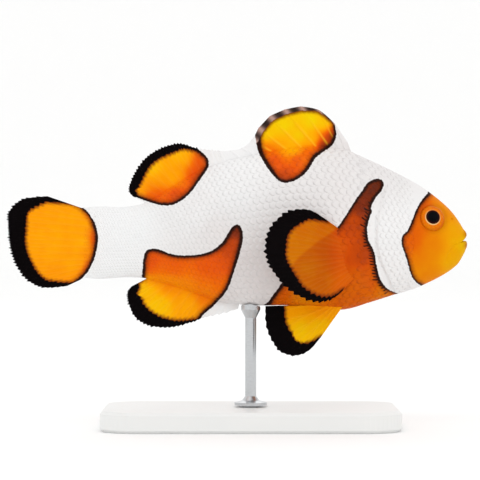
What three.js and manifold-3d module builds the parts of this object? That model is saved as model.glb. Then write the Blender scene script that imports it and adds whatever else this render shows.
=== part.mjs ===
// A life-size display model of an adult clownfish, held by a plain stand. Millimetres, +Z up.
// The fish looks along +X, and the XZ plane is its plane of symmetry: its right side faces -Y.
// The origin is under the middle of its length, on the underside of the stand's base.
import * as THREE from "three";
import { mergeVertices } from "three/addons/utils/BufferGeometryUtils.js";
import Module from "manifold-3d";

const wasm = await Module();
wasm.setup();

// ---------------------------------------------------------------- driving sizes
const SNOUT_X = 45; // half of the total length of 90
const AXIS_Z = 36.5; // height of the mouth: heights on the fish are measured from here
const GAP = 0.3; // clearance between pieces that meet
const SAME_POINT = 1e-4; // a surface's points nearer than this are one point
const SAME_CORNER = 0.005; // and so are the corners of a cut piece

// The body from snout to tail root. Each row: distance behind the snout, height of the back
// above the axis, depth of the belly below it, half width.
const BODY_ROWS = [
  [0.0, 0.4, 0.4, 0.5],
  [0.4, 1.6, 2.0, 1.4],
  [1.5, 3.8, 4.2, 2.5],
  [3.5, 6.4, 6.0, 3.8],
  [6.5, 9.0, 7.7, 5.1],
  [10.0, 11.4, 9.2, 6.1],
  [14.0, 13.5, 10.5, 6.8],
  [19.0, 15.9, 12.1, 7.3],
  [24.0, 17.9, 13.5, 7.5],
  [29.0, 18.5, 13.3, 7.3],
  [35.0, 18.0, 12.7, 6.8],
  [41.0, 17.0, 12.7, 6.1],
  [47.0, 15.6, 12.2, 5.2],
  [52.0, 13.9, 10.6, 4.3],
  [57.0, 11.0, 8.9, 3.4],
  [62.0, 8.0, 7.5, 2.7],
  [67.0, 6.8, 7.2, 2.1],
  [72.0, 6.9, 7.5, 1.5],
  [75.5, 6.6, 7.2, 0.7],
];
const UPPER_ROUNDNESS = 1.9; // superellipse exponents of a section, above and below its widest line
const LOWER_ROUNDNESS = 2.15;
const WIDEST_AT = 0.5; // share of the section's depth, from the belly, where it is widest
const BODY_STATIONS = 32;
const BODY_SIDES = 24;

// Cuts that part the body, as lines in the side view: x, and height above the axis.
const GILL_EDGE = [
  [31.0, 16.5],
  [29.0, 10.0],
  [27.6, 6.0],
  [27.0, 2.0],
  [27.4, -2.5],
  [29.2, -7.0],
  [32.2, -12.5],
];
const CHEEK_EDGE = [
  [30.4, 9.9],
  [32.8, 7.6],
  [34.0, 4.0],
  [34.3, 0.0],
  [33.9, -4.2],
  [32.2, -7.4],
  [29.9, -8.2],
];
const MOUTH_CORNER = [42.2, -1.0];
const JAW_HINGE = [38.6, -5.2];
const GILL_COVER_INNER_Y = 4.2; // the gill covers are the outer slabs of the head beyond this
const TAIL_CUT_X = -13;

// Eyes: flattened balls, turned a little forwards and up.
const EYE = { x: 37.8, z: 4.45, radius: 2.7, depth: 1.55, sunk: 0.62, forward: 0.2, up: 0.28 };

// Fins. Each row is a ray: x and height of its root, x and height of its tip, both from the axis.
// A root height of null puts the root on the body's own outline.
const SPINY_DORSAL = [
  [22.9, null, 21.6, 19.3],
  [21.9, null, 19.0, 23.0],
  [20.7, null, 16.0, 25.6],
  [19.2, null, 12.5, 26.3],
  [16.7, null, 9.3, 25.7],
  [14.0, null, 6.4, 24.4],
  [11.3, null, 4.2, 22.1],
  [8.6, null, 2.9, 19.9],
  [5.4, null, 0.9, 18.2],
  [2.0, null, -1.3, 17.7],
  [-1.8, null, -3.5, 17.6],
];
const SOFT_DORSAL = [
  [-3.1, null, -4.1, 17.6],
  [-5.2, null, -7.9, 18.1],
  [-7.5, null, -11.4, 19.0],
  [-9.8, null, -14.9, 18.1],
  [-11.8, null, -17.9, 16.2],
  [-13.6, null, -20.1, 13.1],
  [-15.2, null, -21.2, 10.2],
  [-16.5, null, -20.5, 8.8],
];
const ANAL = [
  [0.6, null, 0.1, -13.3],
  [-2.8, null, -5.8, -14.7],
  [-4.8, null, -9.3, -15.9],
  [-7.2, null, -13.2, -16.8],
  [-9.6, null, -17.1, -16.5],
  [-11.7, null, -20.0, -14.8],
  [-13.5, null, -21.3, -11.9],
  [-14.7, null, -21.4, -10.1],
  [-15.6, null, -20.7, -8.9],
];
const CAUDAL = [
  [-27.4, 5.4, -37.3, 8.8],
  [-28.1, 4.6, -42.1, 8.1],
  [-28.5, 3.8, -44.6, 5.8],
  [-28.6, 1.8, -44.8, 3.4],
  [-28.6, -0.3, -44.6, 0.6],
  [-28.6, -2.1, -44.2, -1.8],
  [-28.5, -3.9, -43.3, -4.5],
  [-28.3, -4.9, -41.3, -7.4],
  [-28.1, -5.6, -38.1, -9.0],
  [-27.4, -6.0, -33.4, -8.8],
];
const PECTORAL = [
  [22.2, 0.6, 17.3, 3.9],
  [22.2, 0.0, 13.7, 5.9],
  [22.2, -0.7, 9.9, 5.5],
  [22.2, -1.3, 7.0, 3.2],
  [22.3, -2.0, 5.7, 0.1],
  [22.4, -2.7, 5.8, -3.1],
  [22.4, -3.4, 7.0, -5.7],
  [22.5, -4.1, 9.2, -8.3],
  [22.6, -4.8, 12.2, -10.5],
  [22.7, -5.5, 15.8, -11.5],
  [22.8, -6.1, 18.6, -10.9],
  [23.0, -6.7, 20.4, -9.5],
];
const PELVIC = [
  [20.4, -13.0, 16.3, -18.7],
  [19.9, -12.9, 14.0, -21.2],
  [19.4, -12.9, 11.4, -22.2],
  [18.9, -12.8, 8.7, -21.6],
  [18.3, -12.8, 7.1, -19.7],
  [17.7, -12.7, 5.8, -16.7],
  [17.0, -12.5, 5.5, -12.8],
];
const SPINE_COUNT = 11;
const SOFT_RAY_COUNT = 14;
const ANAL_RAY_COUNT = 13;
const CAUDAL_RAY_COUNT = 15;
const PECTORAL_RAY_COUNT = 17;
const PELVIC_RAY_COUNT = 6;
const FIN_ROWS = 4; // steps from a ray's root to its tip
const MEMBRANE_HALF = 0.26; // half thickness of the skin between two rays
const RAY_HALF = 0.4; // half thickness of a ray at its root
const ROOT_DEPTH = 1.6; // how far a fin's root is set into the body before it is fitted
const ROOT_FLARE = 0.45; // added half thickness where a fin leaves the body
const FLARE_SHARE = 0.3; // share of a ray's length over which the flare dies away
const RAY_OVERHANG = 0.25; // a ray's tip beyond the skin beside it

const PECTORAL_SPLAY = THREE.MathUtils.degToRad(27); // how far the pectoral fins stand out
const PECTORAL_SINK = 0.8; // their roots below the flank
const PECTORAL_CUP = 0.07; // how deep they are hollowed, as a share of each ray's length
const PELVIC_ROOT_Y = 1.5;
const PELVIC_SPLAY = THREE.MathUtils.degToRad(13);

// Stand.
const BASE = { length: 58, width: 38, height: 4, corner: 7, edge: 0.6 };
const ROD = {
  x: 2.6,
  radius: 1.1,
  footRadius: 3.2,
  footHeight: 1.0,
  cupRadius: 1.9,
  cupHeight: 2.4,
  sides: 28,
};

// ---------------------------------------------------------------- shape helpers
// A smooth run through rows of numbers; the argument counts rows from 0.
function smoothRows(rows) {
  const width = rows[0].length;
  const run = new THREE.CubicInterpolant(rows.map((_, i) => i), rows.flat(), width, new Array(width));
  return (at) => [...run.evaluate(at)];
}

// Joins rings of points, all of one count, into a closed surface with a fan at each end.
function loft(rings) {
  const sides = rings[0].length;
  const middleOf = (ring) => ring.reduce((sum, p) => sum.add(p), new THREE.Vector3()).divideScalar(sides);
  const points = [...rings.flat(), middleOf(rings[0]), middleOf(rings.at(-1))];
  const firstHub = points.length - 2;
  const lastHub = points.length - 1;
  const lastRing = (rings.length - 1) * sides;
  const index = [];
  for (let i = 0; i < sides; i++) {
    const next = (i + 1) % sides;
    for (let r = 0; r < rings.length - 1; r++) {
      const a = r * sides + i;
      const b = r * sides + next;
      index.push(a, b, b + sides, a, b + sides, a + sides);
    }
    index.push(firstHub, next, i, lastHub, lastRing + i, lastRing + next);
  }
  const geometry = new THREE.BufferGeometry().setFromPoints(points);
  geometry.setIndex(index);
  return geometry;
}

// A closed geometry as a solid for cutting and joining, turned right side out.
function solidOf(geometry) {
  const bare = geometry.clone();
  bare.deleteAttribute("normal");
  bare.deleteAttribute("uv");
  const merged = mergeVertices(bare, SAME_POINT);
  const corners = new Uint32Array(merged.index.array);
  const build = () =>
    new wasm.Manifold(
      new wasm.Mesh({ numProp: 3, vertProperties: merged.attributes.position.array, triVerts: corners }),
    );
  const solid = build();
  if (solid.volume() > 0) return solid;
  for (let i = 0; i < corners.length; i += 3) {
    [corners[i + 1], corners[i + 2]] = [corners[i + 2], corners[i + 1]];
  }
  return build();
}

// A solid as a geometry. Corners that a cut left almost on top of each other become one, and the
// triangles that this flattens to a line, or folds onto each other, are left out.
function geometryOf(solid) {
  const mesh = solid.getMesh();
  const geometry = new THREE.BufferGeometry();
  geometry.setAttribute("position", new THREE.BufferAttribute(mesh.vertProperties, 3));
  geometry.setIndex(new THREE.BufferAttribute(mesh.triVerts, 1));
  const merged = mergeVertices(geometry, SAME_CORNER);
  const kept = new Map();
  for (let i = 0; i < merged.index.count; i += 3) {
    const corners = [...merged.index.array.slice(i, i + 3)];
    const sameCorners = [...corners].sort().join();
    if (new Set(corners).size < 3) continue;
    if (!kept.delete(sameCorners)) kept.set(sameCorners, corners);
  }
  merged.setIndex([...kept.values()].flat());
  const flat = merged.toNonIndexed();
  flat.computeVertexNormals();
  return flat;
}

// Moves each edge of a closed outline outwards by a distance.
function grown(outline, distance) {
  const points = outline.map(([x, height]) => new THREE.Vector2(x, height));
  const turn = Math.sign(THREE.ShapeUtils.area(points));
  const outward = (a, b) => new THREE.Vector2(b.y - a.y, a.x - b.x).normalize().multiplyScalar(turn);
  return points.map((point, i) => {
    const before = outward(points.at(i - 1), point);
    const after = outward(point, points[(i + 1) % points.length]);
    const reach = distance / (1 + before.dot(after));
    return point.clone().addScaledVector(before.add(after), reach);
  });
}

// A side-view outline, as x and height above the axis, grown by a clearance and pushed from
// y = low to y = high.
function prism(outline, low, high, clearance = 0) {
  const shape = new THREE.Shape(grown(outline, clearance));
  const geometry = new THREE.ExtrudeGeometry(shape, { depth: high - low, bevelEnabled: false });
  geometry.rotateX(Math.PI / 2);
  geometry.translate(0, high, AXIS_Z);
  return solidOf(geometry);
}

// A side-view line made smooth.
function smoothLine(points) {
  const curve = new THREE.SplineCurve(points.map(([x, height]) => new THREE.Vector2(x, height)));
  return curve.getPoints(10).map((p) => [p.x, p.y]);
}

// ---------------------------------------------------------------- the body
const bodyAt = smoothRows(BODY_ROWS);

// One section of the body, grown all round by a clearance.
function bodySection(at, grow = 0) {
  const [behind, back, belly, half] = bodyAt(at);
  const middle = (back + belly) * WIDEST_AT - belly;
  const push = at === 0 ? grow : at === BODY_ROWS.length - 1 ? -grow : 0;
  const ring = [];
  for (let i = 0; i < BODY_SIDES; i++) {
    const turn = (i / BODY_SIDES) * 2 * Math.PI;
    const up = Math.sin(turn) >= 0;
    const power = 2 / (up ? UPPER_ROUNDNESS : LOWER_ROUNDNESS);
    const across = Math.sign(Math.cos(turn)) * Math.abs(Math.cos(turn)) ** power;
    const rise = Math.sign(Math.sin(turn)) * Math.abs(Math.sin(turn)) ** power;
    const reach = (up ? back - middle : middle + belly) + grow;
    ring.push(
      new THREE.Vector3(SNOUT_X - behind + push, across * (half + grow), AXIS_Z + middle + rise * reach),
    );
  }
  return ring;
}

function bodySolid(grow) {
  const last = BODY_ROWS.length - 1;
  const rings = [];
  for (let i = 0; i <= BODY_STATIONS; i++) {
    rings.push(bodySection((i / BODY_STATIONS) * last, grow));
  }
  return solidOf(loft(rings));
}

// The body's numbers at a given x: back and belly heights from the axis, and half width.
function bodyAtX(x) {
  let low = 0;
  let high = BODY_ROWS.length - 1;
  for (let i = 0; i < 40; i++) {
    const mid = (low + high) / 2;
    if (SNOUT_X - bodyAt(mid)[0] > x) low = mid;
    else high = mid;
  }
  const [, back, belly, half] = bodyAt(low);
  return { back, belly, half };
}

// How far the flank stands from the plane of symmetry at a point of the side view.
function flankAt(x, height) {
  const { back, belly, half } = bodyAtX(x);
  const middle = (back + belly) * WIDEST_AT - belly;
  const reach = height > middle ? back - middle : middle + belly;
  const power = height > middle ? UPPER_ROUNDNESS : LOWER_ROUNDNESS;
  const share = Math.min(1, Math.abs(height - middle) / reach);
  return half * (1 - share ** power) ** (1 / power);
}

const body = bodySolid(0);
const bodyAndGap = bodySolid(GAP);

// ---------------------------------------------------------------- eyes
function eyeSolid(side, grow) {
  const ball = new THREE.SphereGeometry(1, 18, 10);
  ball.scale(EYE.radius + grow, EYE.radius + grow, EYE.depth + grow);
  const look = new THREE.Vector3(EYE.forward, side, EYE.up).normalize();
  ball.applyQuaternion(new THREE.Quaternion().setFromUnitVectors(new THREE.Vector3(0, 0, 1), look));
  const centre = new THREE.Vector3(EYE.x, side * flankAt(EYE.x, EYE.z), AXIS_Z + EYE.z);
  centre.addScaledVector(look, -EYE.sunk);
  ball.translate(centre.x, centre.y, centre.z);
  return solidOf(ball);
}

// ---------------------------------------------------------------- head, trunk and tail stem
const FAR = 60;

function headBlock(grow) {
  return prism([...smoothLine(GILL_EDGE), [FAR, -FAR], [FAR, FAR]], -FAR, FAR, grow);
}

function jawBlock(grow) {
  const [hingeX] = JAW_HINGE;
  const outline = [
    [FAR, MOUTH_CORNER[1] + 1.2],
    MOUTH_CORNER,
    JAW_HINGE,
    [hingeX - 1.5, -FAR],
    [FAR, -FAR],
  ];
  return prism(outline, -FAR, FAR, grow);
}

// The gill cover's plate, between the cheek's edge and the gill opening, on one side.
function gillCoverBlock(side, grow) {
  const outline = [...smoothLine(CHEEK_EDGE), ...smoothLine(GILL_EDGE.slice(1, 6)).reverse()];
  const inner = GILL_COVER_INNER_Y - grow;
  return side > 0 ? prism(outline, inner, FAR, grow) : prism(outline, -FAR, -inner, grow);
}

const eyes = { right: eyeSolid(-1, 0), left: eyeSolid(1, 0) };
const wholeHead = body.intersect(headBlock(0));
const lowerJaw = wholeHead.intersect(jawBlock(0));
const gillCovers = {
  right: wholeHead.intersect(gillCoverBlock(-1, 0)),
  left: wholeHead.intersect(gillCoverBlock(1, 0)),
};
const head = wholeHead
  .subtract(jawBlock(GAP))
  .subtract(gillCoverBlock(-1, GAP))
  .subtract(gillCoverBlock(1, GAP))
  .subtract(eyeSolid(-1, GAP))
  .subtract(eyeSolid(1, GAP));
const tailBlock = (grow) =>
  prism([[-FAR, -FAR], [TAIL_CUT_X, -FAR], [TAIL_CUT_X, FAR], [-FAR, FAR]], -FAR, FAR, grow);
const trunk = body.subtract(headBlock(GAP)).subtract(tailBlock(GAP));
const tailStem = body.intersect(tailBlock(0));

// ---------------------------------------------------------------- fins
// A fin: rays fanned between the rows given, with thinner skin between them. leaveAt says how far
// sideways a point of the side view lies, and outwards is the way its thickness is measured.
function finSolid({ rays, count, leaveAt, outwards }) {
  const rayAt = smoothRows(rays);
  const columns = 2 * count - 1;
  const rings = [];
  for (let c = 0; c < columns; c++) {
    const [rootX, rootHeight, tipX, tipHeight] = rayAt((c / (columns - 1)) * (rays.length - 1));
    const length = Math.hypot(tipX - rootX, tipHeight - rootHeight);
    const isRay = c % 2 === 0;
    const reach = isRay ? 1 + RAY_OVERHANG / length : 1;
    const near = [];
    const far = [];
    for (let r = 0; r <= FIN_ROWS; r++) {
      const share = (r / FIN_ROWS) * reach;
      const x = rootX + (tipX - rootX) * share;
      const height = rootHeight + (tipHeight - rootHeight) * share;
      const flare = ROOT_FLARE * Math.max(0, 1 - share / FLARE_SHARE) ** 2;
      const thin = isRay ? RAY_HALF - (RAY_HALF - MEMBRANE_HALF) * share : MEMBRANE_HALF;
      const middle = new THREE.Vector3(x, leaveAt(x, height, share, length), AXIS_Z + height);
      near.push(middle.clone().addScaledVector(outwards, thin + flare));
      far.push(middle.clone().addScaledVector(outwards, -thin - flare));
    }
    rings.push([...near, ...far.reverse()]);
  }
  return solidOf(loft(rings));
}

// A fin in the plane of symmetry. A root given as null is set into the body's outline.
function medianFin(rows, count) {
  const above = rows[0][3] > 0;
  const rays = rows.map(([rootX, rootHeight, tipX, tipHeight]) => {
    if (rootHeight !== null) return [rootX, rootHeight, tipX, tipHeight];
    const { back, belly } = bodyAtX(rootX);
    return [rootX, above ? back - ROOT_DEPTH : ROOT_DEPTH - belly, tipX, tipHeight];
  });
  const fin = finSolid({ rays, count, leaveAt: () => 0, outwards: new THREE.Vector3(0, 1, 0) });
  return fin.subtract(bodyAndGap);
}

// A pectoral fin leaves the flank and stands out behind its root; its middle is cupped.
function pectoralFin(side) {
  const [rootX, rootHeight] = PECTORAL[Math.floor(PECTORAL.length / 2)];
  const rootY = flankAt(rootX, rootHeight) - PECTORAL_SINK;
  const leaveAt = (x, height, share, length) => {
    const cup = PECTORAL_CUP * length * Math.sin(Math.PI * share);
    return side * (rootY + Math.tan(PECTORAL_SPLAY) * (rootX - x) - cup);
  };
  const outwards = new THREE.Vector3(Math.sin(PECTORAL_SPLAY), side * Math.cos(PECTORAL_SPLAY), 0);
  return finSolid({ rays: PECTORAL, count: PECTORAL_RAY_COUNT, leaveAt, outwards }).subtract(bodyAndGap);
}

// A pelvic fin hangs from the belly, the pair a little apart.
function pelvicFin(side) {
  const rootHeight = PELVIC[0][1];
  const leaveAt = (x, height) => side * (PELVIC_ROOT_Y + Math.tan(PELVIC_SPLAY) * (rootHeight - height + 1));
  const outwards = new THREE.Vector3(0, side * Math.cos(PELVIC_SPLAY), Math.sin(PELVIC_SPLAY));
  return finSolid({ rays: PELVIC, count: PELVIC_RAY_COUNT, leaveAt, outwards }).subtract(bodyAndGap);
}

// ---------------------------------------------------------------- stand
function baseGeometry() {
  const { length, width, height, corner, edge } = BASE;
  const x = length / 2 - edge;
  const y = width / 2 - edge;
  const shape = new THREE.Shape();
  shape.moveTo(corner - x, -y);
  shape.lineTo(x - corner, -y);
  shape.absarc(x - corner, corner - y, corner, -Math.PI / 2, 0);
  shape.absarc(x - corner, y - corner, corner, 0, Math.PI / 2);
  shape.absarc(corner - x, y - corner, corner, Math.PI / 2, Math.PI);
  shape.absarc(corner - x, corner - y, corner, Math.PI, 1.5 * Math.PI);
  const geometry = new THREE.ExtrudeGeometry(shape, {
    depth: height - 2 * edge,
    bevelThickness: edge,
    bevelSize: edge,
    bevelSegments: 1,
    curveSegments: 6,
  });
  geometry.translate(ROD.x, 0, edge);
  return geometry;
}

// A turned rod: a foot on the base, a slim shaft, and a cup that takes the belly.
function rodSolid() {
  const { x, radius, footRadius, footHeight, cupRadius, cupHeight } = ROD;
  const foot = BASE.height + GAP;
  const belly = AXIS_Z - bodyAtX(x).belly;
  const profile = [
    [0, foot],
    [footRadius, foot],
    [footRadius, foot + footHeight * 0.6],
    [radius + 0.6, foot + footHeight],
    [radius, foot + footHeight + 0.8],
    [radius, belly - cupHeight],
    [cupRadius, belly - 0.8],
    [cupRadius, belly + 0.8],
    [0, belly + 0.8],
  ];
  const geometry = new THREE.LatheGeometry(profile.map(([r, h]) => new THREE.Vector2(r, h)), ROD.sides);
  geometry.rotateX(Math.PI / 2);
  geometry.translate(x, 0, 0);
  return solidOf(geometry).subtract(bodyAndGap);
}

// ---------------------------------------------------------------- the model
const finish = (color, roughness, metalness = 0) =>
  new THREE.MeshStandardMaterial({ color, roughness, metalness });
const WHITE_SKIN = finish(0xe6e8ea, 0.4);
const ORANGE_SKIN = finish(0xe87d08, 0.4);
const YELLOW_FIN = finish(0xf5a808, 0.45);
const EYE_BLACK = finish(0x0a0a0c, 0.08);
const STAND_WHITE = finish(0xdcdcd8, 0.45);
const STAND_STEEL = finish(0xb8babc, 0.3, 1);

const fish = new THREE.Group();

function add(name, shape, material) {
  const geometry = shape.isBufferGeometry ? shape : geometryOf(shape);
  const mesh = new THREE.Mesh(geometry, material);
  mesh.name = name;
  fish.add(mesh);
}

add("head", head, ORANGE_SKIN);
add("lower_jaw", lowerJaw, ORANGE_SKIN);
add("trunk", trunk, WHITE_SKIN);
add("tail_stem", tailStem, WHITE_SKIN);
add("dorsal_fin_spiny", medianFin(SPINY_DORSAL, SPINE_COUNT), YELLOW_FIN);
add("dorsal_fin_soft", medianFin(SOFT_DORSAL, SOFT_RAY_COUNT), YELLOW_FIN);
add("anal_fin", medianFin(ANAL, ANAL_RAY_COUNT), YELLOW_FIN);
add("caudal_fin", medianFin(CAUDAL, CAUDAL_RAY_COUNT), YELLOW_FIN);
for (const [name, side] of [["right", -1], ["left", 1]]) {
  add(`gill_cover_${name}`, gillCovers[name], WHITE_SKIN);
  add(`eye_${name}`, eyes[name], EYE_BLACK);
  add(`pectoral_fin_${name}`, pectoralFin(side), YELLOW_FIN);
  add(`pelvic_fin_${name}`, pelvicFin(side), YELLOW_FIN);
}
add("stand_base", baseGeometry(), STAND_WHITE);
add("stand_rod", rodSolid(), STAND_STEEL);

export default fish;
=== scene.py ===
# %% [markdown]
# # A clownfish, finished as a life-size museum model
# A museum fish is cast from a mould, painted, and set on a slim rod. Its solids were made in CAD,
# and this lesson gives them what casting and paint give the real model: one seamless skin with its
# mouth, gill covers and eye sockets, overlapping scales, fins with branching rays, wet eyes, and
# the orange patches with their dark edges. The frame comes first, because every piece takes its
# place from it. Sizes are in millimetres in the text and in metres in Blender.

# %% Load the frame
import math
from functools import partial

import bpy
import numpy as np
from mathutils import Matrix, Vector


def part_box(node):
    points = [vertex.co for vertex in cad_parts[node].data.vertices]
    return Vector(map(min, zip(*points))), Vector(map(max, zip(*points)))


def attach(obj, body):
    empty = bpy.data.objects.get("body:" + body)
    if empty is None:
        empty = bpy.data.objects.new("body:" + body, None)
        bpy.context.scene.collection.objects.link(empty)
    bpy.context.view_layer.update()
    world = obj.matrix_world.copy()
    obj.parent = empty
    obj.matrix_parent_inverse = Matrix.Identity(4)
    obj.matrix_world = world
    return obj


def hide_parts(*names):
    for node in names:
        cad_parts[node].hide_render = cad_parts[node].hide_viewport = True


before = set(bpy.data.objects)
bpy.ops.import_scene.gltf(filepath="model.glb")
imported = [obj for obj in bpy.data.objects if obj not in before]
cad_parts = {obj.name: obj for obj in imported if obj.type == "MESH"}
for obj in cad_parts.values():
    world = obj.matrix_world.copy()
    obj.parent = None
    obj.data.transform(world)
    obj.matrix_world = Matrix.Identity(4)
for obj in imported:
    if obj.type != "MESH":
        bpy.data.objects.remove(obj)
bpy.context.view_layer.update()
print("CAD nodes:", len(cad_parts))

# %% [markdown]
# ## Looking at it
# A fish is drawn and photographed from the side, so the camera stands level with it, off its right
# flank. A short lens close by would swell the near fins, so a long one is used, and its distance is
# worked out from the width that it has to show. The colours are shown plainly, without a film
# curve, so that the paint can be matched.

# %% The camera
MM = 0.001
LENS = 200
VIEW_WIDTH = 94.1 * MM
VIEW_CENTRE = Vector((0.5 * MM, 0, 36.7 * MM))


def add_camera():
    """Adds the camera so that its picture is VIEW_WIDTH wide at the fish, and tells its distance."""
    bpy.ops.object.camera_add(rotation=(math.pi / 2, 0, 0))
    camera = bpy.context.object
    camera.data.lens = LENS
    distance = VIEW_WIDTH / 2 / math.tan(camera.data.angle / 2)
    camera.location = VIEW_CENTRE - Vector((0, distance, 0))
    camera.data.clip_start = 0.01
    bpy.context.scene.camera = camera
    return distance


print("camera stands off by", round(add_camera(), 3), "m")
bpy.context.scene.view_settings.view_transform = "Standard"

# %% [markdown]
# ## Curves and steps
# A few helpers do the repeated work. A smooth run through rows of numbers could be a Bezier curve,
# but its handles are sizes that nobody measures. A Catmull-Rom spline passes through each row, so
# the rows stay readable sizes. Soft steps, windows and humps shape the relief and the paint.

# %% Curves and steps
def smooth_rows(rows, at):
    """Rows of numbers read between the rows too: at counts rows from 0."""
    rows = np.asarray(rows, float)
    padded = np.concatenate([2 * rows[:1] - rows[1:2], rows, 2 * rows[-1:] - rows[-2:-1]])
    at = np.clip(np.asarray(at, float), 0, len(rows) - 1)
    low = np.minimum(at.astype(int), len(rows) - 2)
    part = (at - low).reshape(at.shape + (1,) * (rows.ndim - 1))
    before, start, end, after = (padded[low + step] for step in range(4))
    bend = 2 * before - 5 * start + 4 * end - after
    twist = 3 * (start - end) + after - before
    return start + 0.5 * part * (end - before + part * (bend + part * twist))


def step(low, high, value):
    """0 below low and 1 above high, with a soft rise between; low may be the larger."""
    share = np.clip((value - low) / (high - low), 0, 1)
    return share * share * (3 - 2 * share)


def window(value, rise, fall):
    """1 between two soft edges, each given by where it is 0 and where it is 1."""
    return step(*rise, value) * step(*fall, value)


def hump(distance, width):
    """1 at no distance, dying away over about a width on each side."""
    return np.exp(-((distance / width) ** 2))


print("a run through 0, 1, 4 read half way:", smooth_rows([[0], [1], [4]], [0.5, 1.5]).ravel())

# %% [markdown]
# ## From numbers to meshes
# A skin or a fin could be pulled into shape by hand, with proportional editing. Here the sizes have
# to agree with the solids, so a grid primitive with the right number of faces is added, and each of
# its vertices is sent to its place. Other helpers store the numbers that the paint reads, and the
# flat picture of a piece, its UV map, that baked textures lie on.

# %% Meshes
def select_only(piece):
    """Selects one piece alone and makes it the active one."""
    bpy.ops.object.select_all(action="DESELECT")
    piece.select_set(True)
    bpy.context.view_layer.objects.active = piece


def apply_modifiers(piece):
    """Turns all of a piece's modifiers into mesh, in their order."""
    select_only(piece)
    for modifier in list(piece.modifiers):
        bpy.ops.object.modifier_apply(modifier=modifier.name)


def vertices_of(piece):
    """The vertices of a piece, in millimetres."""
    co = np.empty(len(piece.data.vertices) * 3)
    piece.data.vertices.foreach_get("co", co)
    return co.reshape(-1, 3) / MM


def place_vertices(piece, points):
    """Moves the vertices of a piece to places in millimetres."""
    piece.data.vertices.foreach_set("co", (np.asarray(points) * MM).ravel())
    piece.data.update()


def sheet_of(points, name):
    """A grid primitive whose vertices take the places given, as rows by columns, in millimetres."""
    rows, columns = points.shape[:2]
    bpy.ops.object.select_all(action="DESELECT")
    bpy.ops.mesh.primitive_grid_add(x_subdivisions=columns - 1, y_subdivisions=rows - 1, size=2)
    piece = bpy.context.object
    piece.name = piece.data.name = name
    flat = vertices_of(piece) * MM
    column = np.rint((flat[:, 0] + 1) / 2 * (columns - 1)).astype(int)
    row = np.rint((flat[:, 1] + 1) / 2 * (rows - 1)).astype(int)
    place_vertices(piece, points[row, column])
    return piece, row, column


def set_values(piece, name, values):
    """Stores one number for each vertex under a name that the materials read."""
    field = piece.data.attributes.get(name) or piece.data.attributes.new(name, "FLOAT", "POINT")
    field.data.foreach_set("value", np.asarray(values, np.float32))


def corners_of(piece):
    """The vertex at each corner of each face, face after face."""
    corner = np.empty(len(piece.data.loops), np.int32)
    piece.data.loops.foreach_get("vertex_index", corner)
    return corner


def write_map(piece, places):
    """Stores a piece's UV map, from the place of each face corner on the flat picture."""
    layer = piece.data.uv_layers[0] if piece.data.uv_layers else piece.data.uv_layers.new()
    layer.name = "OFBake"
    layer.uv.foreach_set("vector", np.asarray(places, np.float32).ravel())


def unwrap_as_grid(piece, u, v):
    """Gives a piece its UV map, from the place u, v of each vertex on the flat picture."""
    write_map(piece, np.stack([u, v], 1)[corners_of(piece)])


def smooth_faces(piece):
    """Shades a piece smooth, so that its faces don't show as flats."""
    select_only(piece)
    bpy.ops.object.shade_smooth()


print("helpers ready")

# %% [markdown]
# ## The body's sections
# A clownfish is deep and flat-sided: a section through it is an upright oval, a little pointed
# along the back. The rows below are the same sizes as the solids': how far behind the snout, the
# height of the back and the depth of the belly from the level of the mouth, and the half width.
# The oval could be a scaled circle, but a superellipse, whose power says how square it is, follows
# flat flanks better. The skin lies inside the solids, by the depth of the scales that cover it.

# %% Sections
AXIS_Z = 36.5
SNOUT_X = round(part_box("head")[1].x / MM, 2)
BODY_ROWS = [
    (0.0, 0.4, 0.4, 0.5),
    (0.4, 1.6, 2.0, 1.4),
    (1.5, 3.8, 4.2, 2.5),
    (3.5, 6.4, 6.0, 3.8),
    (6.5, 9.0, 7.7, 5.1),
    (10.0, 11.4, 9.2, 6.1),
    (14.0, 13.5, 10.5, 6.8),
    (19.0, 15.9, 12.1, 7.3),
    (24.0, 17.9, 13.5, 7.5),
    (29.0, 18.5, 13.3, 7.3),
    (35.0, 18.0, 12.7, 6.8),
    (41.0, 17.0, 12.7, 6.1),
    (47.0, 15.6, 12.2, 5.2),
    (52.0, 13.9, 10.6, 4.3),
    (57.0, 11.0, 8.9, 3.4),
    (62.0, 8.0, 7.5, 2.7),
    (67.0, 6.8, 7.2, 2.1),
    (72.0, 6.9, 7.5, 1.5),
    (75.5, 6.6, 7.2, 0.7),
]
BODY_LENGTH = BODY_ROWS[-1][0]
UPPER_ROUNDNESS = 1.9
LOWER_ROUNDNESS = 2.15
SCALE_DEPTH = 0.12
fine_rows = smooth_rows(BODY_ROWS, np.linspace(0, len(BODY_ROWS) - 1, 1801))


def body_at(behind):
    """Height of the back, depth of the belly and half width at distances behind the snout."""
    return [np.interp(behind, fine_rows[:, 0], fine_rows[:, k]) for k in (1, 2, 3)]


def body_point(behind, turn):
    """Points of the body's surface; turn is the angle round it, 0 at the left flank."""
    back, belly, half = body_at(behind)
    middle = (back - belly) / 2
    reach = (back + belly) / 2 - SCALE_DEPTH
    power = 2 / np.where(np.sin(turn) >= 0, UPPER_ROUNDNESS, LOWER_ROUNDNESS)
    across = np.sign(np.cos(turn)) * np.abs(np.cos(turn)) ** power
    rise = np.sign(np.sin(turn)) * np.abs(np.sin(turn)) ** power
    x = SNOUT_X - behind + 0 * turn
    return np.stack([x, across * (half - SCALE_DEPTH), AXIS_Z + middle + rise * reach], -1)


def flank_at(x, height):
    """Half width of the body at a point of the side view, height counted from the mouth."""
    back, belly, half = body_at(SNOUT_X - x)
    share = np.clip(np.abs(2 * height - back + belly) / (back + belly), 0, 1)
    power = np.where(2 * height > back - belly, UPPER_ROUNDNESS, LOWER_ROUNDNESS)
    return half * (1 - share**power) ** (1 / power)


print("depth 24 mm behind the snout:", [round(float(v), 1) for v in body_at(24.0)])

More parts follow.
